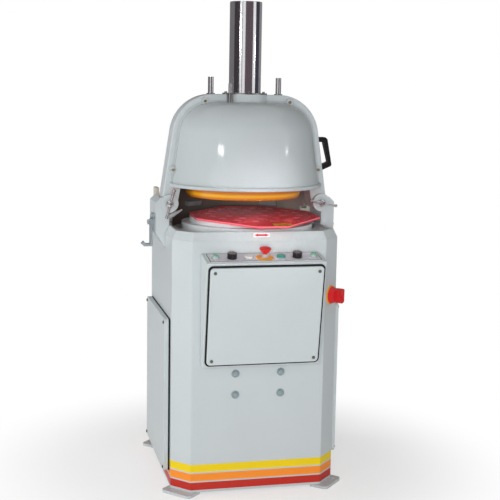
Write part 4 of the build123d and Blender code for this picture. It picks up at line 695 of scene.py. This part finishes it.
class DIVIDER_OT_plastics(bpy.types.Operator):
    """Plastic and rubber of the plate, ring, controls, fascia, handle, fittings, gaskets and belt"""

    bl_idname = "divider.plastics"
    bl_label = "Finish the plastics"

    def execute(self, context):
        shades = context.scene.divider_plastic
        dress(self.plate_finish(shades.plate), "moulding_plate")
        dress(self.ring_finish(shades.ring, shades.ring_sheen), "press_ring")
        dress(self.knob_finish(shades.black), "timer_knob_left", "timer_knob_right")
        lens = {"Coat Weight": 0.6, "Coat Roughness": 0.03}
        for name, colour, rough, grain, constants, nodes in (
            ("switch_red", shades.switch_red, 0.3, 700, None, ("estop_button", "main_switch_knob")),
            ("switch_yellow", shades.switch_yellow, 0.38, 700, None, ("estop_disc", "main_switch_plate")),
            ("start_lens", shades.green, 0.2, 300, lens, ("start_button_left", "start_button_right")),
            ("reset_white", shades.white, 0.32, 700, None, ("reset_button",)),
            ("run_teal", shades.teal, 0.26, 500, lens, ("run_button",)),
            ("handle_black", shades.black, 0.3, 900, None, ("bow_handle",)),
            ("fitting_black", shades.black, 0.5, 700, None, ("cable_gland", "electrical_panel")),
            ("fascia_field", shades.fascia, 0.36, 1100, None, ("control_fascia",)),
        ):
            dress(plastic(name, colour, rough, grain, constants), *nodes)
        dress(rubber("gasket_rubber", tone(26, 26, 28)), "cover_gaskets", "door_gasket")
        dress(rubber("belt_rubber", tone(34, 33, 32)), "drive_belt")
        return {"FINISHED"}

    def knob_finish(self, colour):
        """Black fluted knob with a painted grey highlight on its top and along its flutes."""
        finish = Finish("knob_black", {"Specular IOR Level": 0.4})
        skin = finish.noise(900, 2)
        off = finish.vector("SUBTRACT", finish.place, tuple(PANEL_ORIGIN))
        height = finish.vector("DOT_PRODUCT", off, tuple(PANEL_NORMAL), output="Value")
        # Painted highlight: the knob's top and flute ridges lighter grey, as if lit from above.
        top = finish.rise(height, KNOB_HIGHLIGHT_START, KNOB_HIGHLIGHT_FULL)
        painted_highlight = (top * 0.55).larger(finish.edges(1.0 * MM) * 0.5)
        finish.set("Base Color", finish.blend(painted_highlight, cover(colour), cover(tone(128, 118, 124))))
        finish.set("Roughness", 0.3 + skin * 0.12)
        finish.relief(skin, 0.04 * MM, 0.5, 0.5 * MM)
        return finish

    def ring_finish(self, colour, sheen_colour):
        """Polished golden ring with a painted sheen as a paler band round it, and painted shade darker at
        its lip.
        """
        finish = Finish("ring_plastic", {"Coat Weight": 0.3, "Coat Roughness": 0.08})
        clouds = finish.noise(20, 2)
        height = finish.axis("Z")
        # Painted shade: the ring darker towards its lip at the bottom.
        lip = 1 - finish.rise(height, RING_LIP_LOW, RING_LIP_HIGH)
        # Painted sheen: a paler band round the ring's middle.
        pale = finish.band(height, RING_SHEEN_LOW, RING_SHEEN_HIGH, 5 * MM)
        shade = finish.blend(clouds, shaded(colour, 0.96), shaded(colour, 1.04))
        shade = finish.blend(pale, shade, cover(sheen_colour))
        finish.set("Base Color", finish.blend(lip * 0.6, shade, shaded(colour, 0.6)))
        finish.set("Roughness", 0.2 + clouds * 0.08)
        finish.relief(finish.noise(500, 2), 0.03 * MM, 0.4, 0.5 * MM)
        return finish

    def plate_finish(self, colour):
        """Polished red plate: fine scratches from use, and painted pink glints in the dimples."""
        finish = Finish("plate_plastic", {"Specular IOR Level": 0.4})
        clouds = finish.noise(12, 3)
        scratches = finish.noise(90, 4, (1, 7, 1))
        off = finish.vector("SUBTRACT", finish.place, tuple(PLATE_CENTRE))
        depth = finish.vector("DOT_PRODUCT", off, tuple(PLATE_NORMAL), output="Value")
        # Painted highlight: the dimples' walls and floors paler pink, as glints.
        dimple_glint = finish.band(depth, DIMPLE_FLOOR, DIMPLE_RIM, 0.3 * MM)
        shade = finish.blend(clouds, shaded(colour, 0.95), shaded(colour, 1.05))
        shade = finish.blend(dimple_glint * 0.8, shade, cover(tone(255, 150, 165)))
        edge_tint = finish.edges(1.2 * MM) * 0.5
        finish.set("Base Color", finish.blend(edge_tint, shade, cover(tone(250, 56, 72))))
        finish.set("Roughness", 0.19 + clouds * 0.06 + scratches * 0.08)
        finish.relief(scratches, 0.01 * MM, 0.3, 0.8 * MM)
        return finish


class DIVIDER_OT_fascia_print(bpy.types.Operator):
    """Green border, its pale inner line and the dial ticks, printed on the fascia"""

    bl_idname = "divider.fascia_print"
    bl_label = "Print the fascia"

    def execute(self, context):
        shades = context.scene.divider_plastic
        marks = context.scene.divider_marks
        green = printed("print_green", shades.fascia_line)
        pale = printed("print_white", tone(240, 240, 236))
        dark = printed("print_dark", tone(70, 70, 82))
        self.frame("fascia_border", marks.border_inset, marks.border_width, green, marks.print_thickness)
        line_inset = marks.border_inset + marks.border_width + LINE_GAP
        self.frame("fascia_line", line_inset, LINE_WIDTH, pale, marks.print_thickness)
        self.dial_ticks("dial_ticks", dark, marks.print_thickness)
        return {"FINISHED"}

    def frame(self, name, inset, width, finish, thickness):
        """Line of one width along the fascia's edge."""
        long, short = FASCIA_SIZE
        mesh = bmesh.new()
        outer = rounded_outline(long - 2 * inset, short - 2 * inset, FRAME_OUTER_CORNER)
        reach = inset + width
        inner = rounded_outline(long - 2 * reach, short - 2 * reach, FRAME_INNER_CORNER)
        add_slab(mesh, outer, 0, thickness, inner)
        add_piece(name, mesh, PANEL, "base", finish)

    def dial_ticks(self, name, finish, thickness):
        """Short lines round each timer knob."""
        mesh = bmesh.new()
        tick = rounded_outline(*TICK_SIZE, FINE_CORNER, FINE_STEPS)
        for knob_x in KNOB_PLACES.values():
            for step in range(TICK_COUNT):
                angle = math.radians(TICK_FIRST_ANGLE - TICK_TURN * step)
                x = knob_x + TICK_RADIUS * math.cos(angle)
                y = CONTROL_ROW + TICK_RADIUS * math.sin(angle)
                add_slab(mesh, moved(tick, x, y, angle), 0, thickness)
        add_piece(name, mesh, PANEL, "base", finish)


class DIVIDER_OT_arrow_label(bpy.types.Operator):
    """White label with a plain red double arrow, on the front bevel of the casting"""

    bl_idname = "divider.arrow_label"
    bl_label = "Stick on the arrow label"

    def execute(self, context):
        marks = context.scene.divider_marks
        shades = context.scene.divider_plastic
        where = plane_at(LABEL_CENTRE, (1, 0, 0), BEVEL_NORMAL)
        thick = marks.print_thickness
        paper = printed("label_white", tone(250, 250, 252))
        mesh = bmesh.new()
        add_slab(mesh, rounded_outline(marks.label_width, marks.label_height, LABEL_CORNER), 0, thick)
        add_piece("arrow_label", mesh, where, "base", paper)
        ink = printed("label_red", shaded(shades.switch_red, 0.85))
        mesh = bmesh.new()
        length = marks.label_width * ARROW_LENGTH_SHARE
        height = marks.label_height * ARROW_HEIGHT_SHARE
        add_slab(mesh, self.double_arrow(length, height), thick, ARROW_LIFT * thick)
        add_piece("arrow_mark", mesh, where, "base", ink)
        return {"FINISHED"}

    def double_arrow(self, length, height):
        """Outline of an arrow with a head at each end, about the origin."""
        tip, half = length / 2, height / 2
        neck, shaft = tip - length * ARROW_HEAD_SHARE, half * ARROW_SHAFT_SHARE
        right = [(neck, -shaft), (neck, -half), (tip, 0), (neck, half), (neck, shaft)]
        left = [(-neck, shaft), (-neck, half), (-tip, 0), (-neck, -half), (-neck, -shaft)]
        return right + left


class DIVIDER_OT_plate_sticker(bpy.types.Operator):
    """Plain yellow sticker at the front right of the moulding plate"""

    bl_idname = "divider.plate_sticker"
    bl_label = "Stick on the plate's sticker"

    def execute(self, context):
        marks = context.scene.divider_marks
        rise = (STICKER_PLACE.y - PLATE_CENTRE.y) * math.tan(PLATE_LEAN)
        middle = Vector((STICKER_PLACE.x, STICKER_PLACE.y, PLATE_CENTRE.z + rise))
        where = plane_at(middle, STICKER_EDGE, PLATE_NORMAL)
        mesh = bmesh.new()
        add_slab(mesh, rounded_outline(*STICKER_SIZE, STICKER_CORNER), 0, marks.print_thickness)
        finish = plastic("sticker_yellow", tone(214, 176, 32), rough=0.34, grain=900)
        add_piece("plate_sticker", mesh, where, "plate", finish)
        return {"FINISHED"}


class DIVIDER_OT_knob_marks(bpy.types.Operator):
    """White pointer line in the notch of each timer knob"""

    bl_idname = "divider.knob_marks"
    bl_label = "Fill the knob pointers"

    def execute(self, context):
        finish = printed("pointer_white", tone(232, 232, 230))
        line = rounded_outline(*POINTER_SIZE, FINE_CORNER, FINE_STEPS)
        for side, x in KNOB_PLACES.items():
            mesh = bmesh.new()
            add_slab(mesh, moved(line, x, CONTROL_ROW + POINTER_RADIUS), POINTER_LOW, POINTER_HIGH)
            add_piece(f"{side}_knob_pointer", mesh, PANEL, f"{side}_timer", finish)
        return {"FINISHED"}


class DIVIDER_OT_side_bolts(bpy.types.Operator):
    """Two small dome bolts on the right side, one on the cheek and one on the column"""

    bl_idname = "divider.side_bolts"
    bl_label = "Fit the side bolts"

    def execute(self, context):
        finish = steel("bolt_steel", tone(120, 124, 128), rough=0.34)
        profile = [(0, -BOLT_SINK), (BOLT_RADIUS, -BOLT_SINK)]
        for degrees in range(0, 90, 15):
            angle = math.radians(degrees)
            profile.append((BOLT_RADIUS * math.cos(angle), BOLT_HEIGHT * math.sin(angle)))
        profile.append((0, BOLT_HEIGHT))
        for name, place in SIDE_BOLTS.items():
            mesh = bmesh.new()
            add_turned(mesh, profile)
            where = plane_at(Vector(place) * MM, (0, 1, 0), (1, 0, 0))
            add_piece(name, mesh, where, "base", finish, smooth=True)
        return {"FINISHED"}


class DIVIDER_OT_stage(bpy.types.Operator):
    """Camera, lamps, pale floor, white surroundings and the cards that the chrome mirrors"""

    bl_idname = "divider.stage"
    bl_label = "Set the stage"

    def execute(self, context):
        stage = context.scene.divider_stage
        context.scene.view_settings.view_transform = "Standard"
        self.camera(context.scene, stage)
        self.surroundings(context.scene, stage.ambient)
        for name, place, width, power in (
            ("key_lamp", (-2.9, -2.6, 2.5), 0.9, stage.key_power),
            ("front_lamp", (-0.9, -3.95, 1.3), 1.2, stage.front_power),
            ("side_lamp", (-3.7, 1.0, 1.2), 1.4, stage.side_power),
            ("fill_lamp", (2.9, -1.9, 1.6), 1.2, stage.fill_power),
        ):
            self.lamp(context.scene, name, place, (width, width), power)
        table_lamp = self.lamp(
            context.scene, "table_lamp", TABLE_LAMP_PLACE, TABLE_LAMP_SIZE, stage.table_power
        )
        self.point(table_lamp, TABLE_LAMP_AIM)
        table_lamp.data.spread = TABLE_LAMP_SPREAD
        for name, angle, height, width in (
            ("left_sparkle", -35, 1.74, 0.5),
            ("right_sparkle", 70, 1.63, 0.2),
        ):
            place = SPARKLE_REACH * self.around(angle) + Vector((0, 0, height))
            size = (width, SPARKLE_THICKNESS)
            sparkle = self.lamp(context.scene, name, place, size, stage.sparkle_power * width)
            sparkle.visible_glossy = True
        self.floor(context.scene)
        for name, start, end, colour in (
            ("rear_left_card", -180, -86, (0.2, 0.19, 0.2)),
            ("left_card", -86, -40, (0.06, 0.05, 0.055)),
            ("seam_card", -25, -20, (0.3, 0.3, 0.34)),
            ("middle_card", -1.5, 54, (0.13, 0.10, 0.115)),
            ("right_card", 76, 114, (0.06, 0.055, 0.075)),
            ("rear_right_card", 114, 180, (0.3, 0.29, 0.29)),
        ):
            self.card(context.scene, name, start, end, colour)
        return {"FINISHED"}

    def around(self, angle):
        """Level direction from the machine, in degrees from the camera and to its right."""
        turn = math.radians(angle)
        return math.cos(turn) * CAMERA_SIDE + math.sin(turn) * CAMERA_RIGHT

    def camera(self, scene, stage):
        data = bpy.data.cameras.new("camera")
        data.sensor_width = SENSOR_WIDTH
        data.lens = stage.focal_ratio * data.sensor_width
        camera = bpy.data.objects.new("camera", data)
        eye, target = Vector(stage.eye), Vector(stage.target)
        aim = (target - eye).to_track_quat("-Z", "Y").to_matrix().to_4x4()
        camera.matrix_world = Matrix.Translation(eye) @ aim @ Matrix.Rotation(stage.roll, 4, "Z")
        scene.collection.objects.link(camera)
        scene.camera = camera

    def seen_directly(self, sheet):
        """1 for rays that show the background: from the camera, off gloss or through glass."""
        def ray(kind):
            return sheet.node("ShaderNodeLightPath", output=kind)

        return ray("Is Camera Ray").larger(ray("Is Glossy Ray")).larger(ray("Is Transmission Ray"))

    def surroundings(self, scene, ambient):
        world = bpy.data.worlds.new("surroundings")
        world.use_nodes = True
        scene.world = world
        sheet = NodeSheet(world.node_tree)
        seen = self.seen_directly(sheet)
        background = world.node_tree.nodes["Background"]
        background.inputs["Color"].default_value = (1, 1, 1, 1)
        sheet.feed(background.inputs["Strength"], ambient + seen * (1 - ambient))

    def lamp(self, scene, name, place, size, power):
        """Area lamp that faces the middle of the machine and isn't seen in gloss."""
        data = bpy.data.lights.new(name, "AREA")
        data.shape = "RECTANGLE"
        data.size, data.size_y = size
        data.energy = power
        lamp = bpy.data.objects.new(name, data)
        lamp.location = place
        lamp.visible_glossy = False
        self.point(lamp, LAMP_AIM)
        scene.collection.objects.link(lamp)
        return lamp

    def point(self, lamp, target):
        """Turns a lamp to face a place."""
        aim = Vector(target) - lamp.location
        lamp.rotation_euler = aim.to_track_quat("-Z", "Y").to_euler()

    def floor(self, scene):
        """Pale floor that takes the shadow near the machine and fades to white further out."""
        material = bpy.data.materials.new("floor_pale")
        material.use_nodes = True
        material.node_tree.nodes.clear()
        sheet = NodeSheet(material.node_tree)
        place = sheet.node("ShaderNodeTexCoord", output="Object")
        reach = sheet.vector("LENGTH", place, output="Value")
        matt = sheet.node("ShaderNodeBsdfDiffuse", sockets={"Color": (0.9, 0.9, 0.9, 1)})
        white = sheet.node("ShaderNodeEmission", sockets={"Color": (1, 1, 1, 1), "Strength": 1.0})
        far = sheet.rise(reach, FLOOR_SHADE_REACH, FLOOR_WHITE_REACH)
        clear = FLOOR_NEAR_WHITE + far * (1 - FLOOR_NEAR_WHITE)
        seen = sheet.node("ShaderNodeLightPath", output="Is Camera Ray")
        mixed = sheet.node("ShaderNodeMixShader", sockets={0: seen * clear, 1: matt, 2: white})
        sheet.node("ShaderNodeOutputMaterial", sockets={"Surface": mixed})
        data = bpy.data.meshes.new("floor")
        corners = [(x * FLOOR_HALF, y * FLOOR_HALF, 0) for x, y in ((-1, -1), (1, -1), (1, 1), (-1, 1))]
        data.from_pydata(corners, [], [(0, 1, 2, 3)])
        data.materials.append(material)
        floor = bpy.data.objects.new("floor", data)
        scene.collection.objects.link(floor)

    def card(self, scene, name, start, end, colour):
        """Upright curved card round the machine, seen only in reflections."""
        points = []
        for step in range(CARD_STEPS + 1):
            edge = CARD_RADIUS * self.around(start + (end - start) * step / CARD_STEPS)
            points += [(edge.x, edge.y, CARD_LOW), (edge.x, edge.y, CARD_HIGH)]
        faces = [(2 * i, 2 * i + 2, 2 * i + 3, 2 * i + 1) for i in range(CARD_STEPS)]
        data = bpy.data.meshes.new(name)
        data.from_pydata(points, [], faces)
        material = bpy.data.materials.new(name)
        material.use_nodes = True
        shader = material.node_tree.nodes["Principled BSDF"]
        shader.inputs["Base Color"].default_value = (0, 0, 0, 1)
        shader.inputs["Specular IOR Level"].default_value = 0
        shader.inputs["Emission Color"].default_value = (*colour, 1)
        shader.inputs["Emission Strength"].default_value = 1
        data.materials.append(material)
        card = bpy.data.objects.new(name, data)
        card.visible_camera = False
        card.visible_diffuse = False
        card.visible_shadow = False
        card.visible_transmission = False
        scene.collection.objects.link(card)


class DIVIDER_PT_looks(bpy.types.Panel):
    """Lists the steps that dress the divider"""

    bl_idname = "DIVIDER_PT_looks"
    bl_label = "Dough divider"
    bl_space_type = "VIEW_3D"
    bl_region_type = "UI"
    bl_category = "Divider"

    def draw(self, context):
        for step in STEPS:
            self.layout.operator(step.bl_idname)


SETTINGS = {
    "divider_paint": PaintSettings,
    "divider_plastic": PlasticSettings,
    "divider_marks": MarkSettings,
    "divider_stage": StageSettings,
}
STEPS = (
    DIVIDER_OT_stage,
    DIVIDER_OT_painted_sheet,
    DIVIDER_OT_painted_castings,
    DIVIDER_OT_bright_metal,
    DIVIDER_OT_machined_metal,
    DIVIDER_OT_plastics,
    DIVIDER_OT_fascia_print,
    DIVIDER_OT_arrow_label,
    DIVIDER_OT_plate_sticker,
    DIVIDER_OT_knob_marks,
    DIVIDER_OT_side_bolts,
)


def register():
    for group in SETTINGS.values():
        bpy.utils.register_class(group)
    for step in (*STEPS, DIVIDER_PT_looks):
        bpy.utils.register_class(step)
    for name, group in SETTINGS.items():
        setattr(bpy.types.Scene, name, PointerProperty(type=group))


def unregister():
    for name in SETTINGS:
        delattr(bpy.types.Scene, name)
    for step in (DIVIDER_PT_looks, *reversed(STEPS)):
        bpy.utils.unregister_class(step)
    for group in SETTINGS.values():
        bpy.utils.unregister_class(group)


def main():
    register()
    for step in STEPS:
        group, name = step.bl_idname.split(".")
        getattr(getattr(bpy.ops, group), name)()


if __name__ == "__main__":
    main()
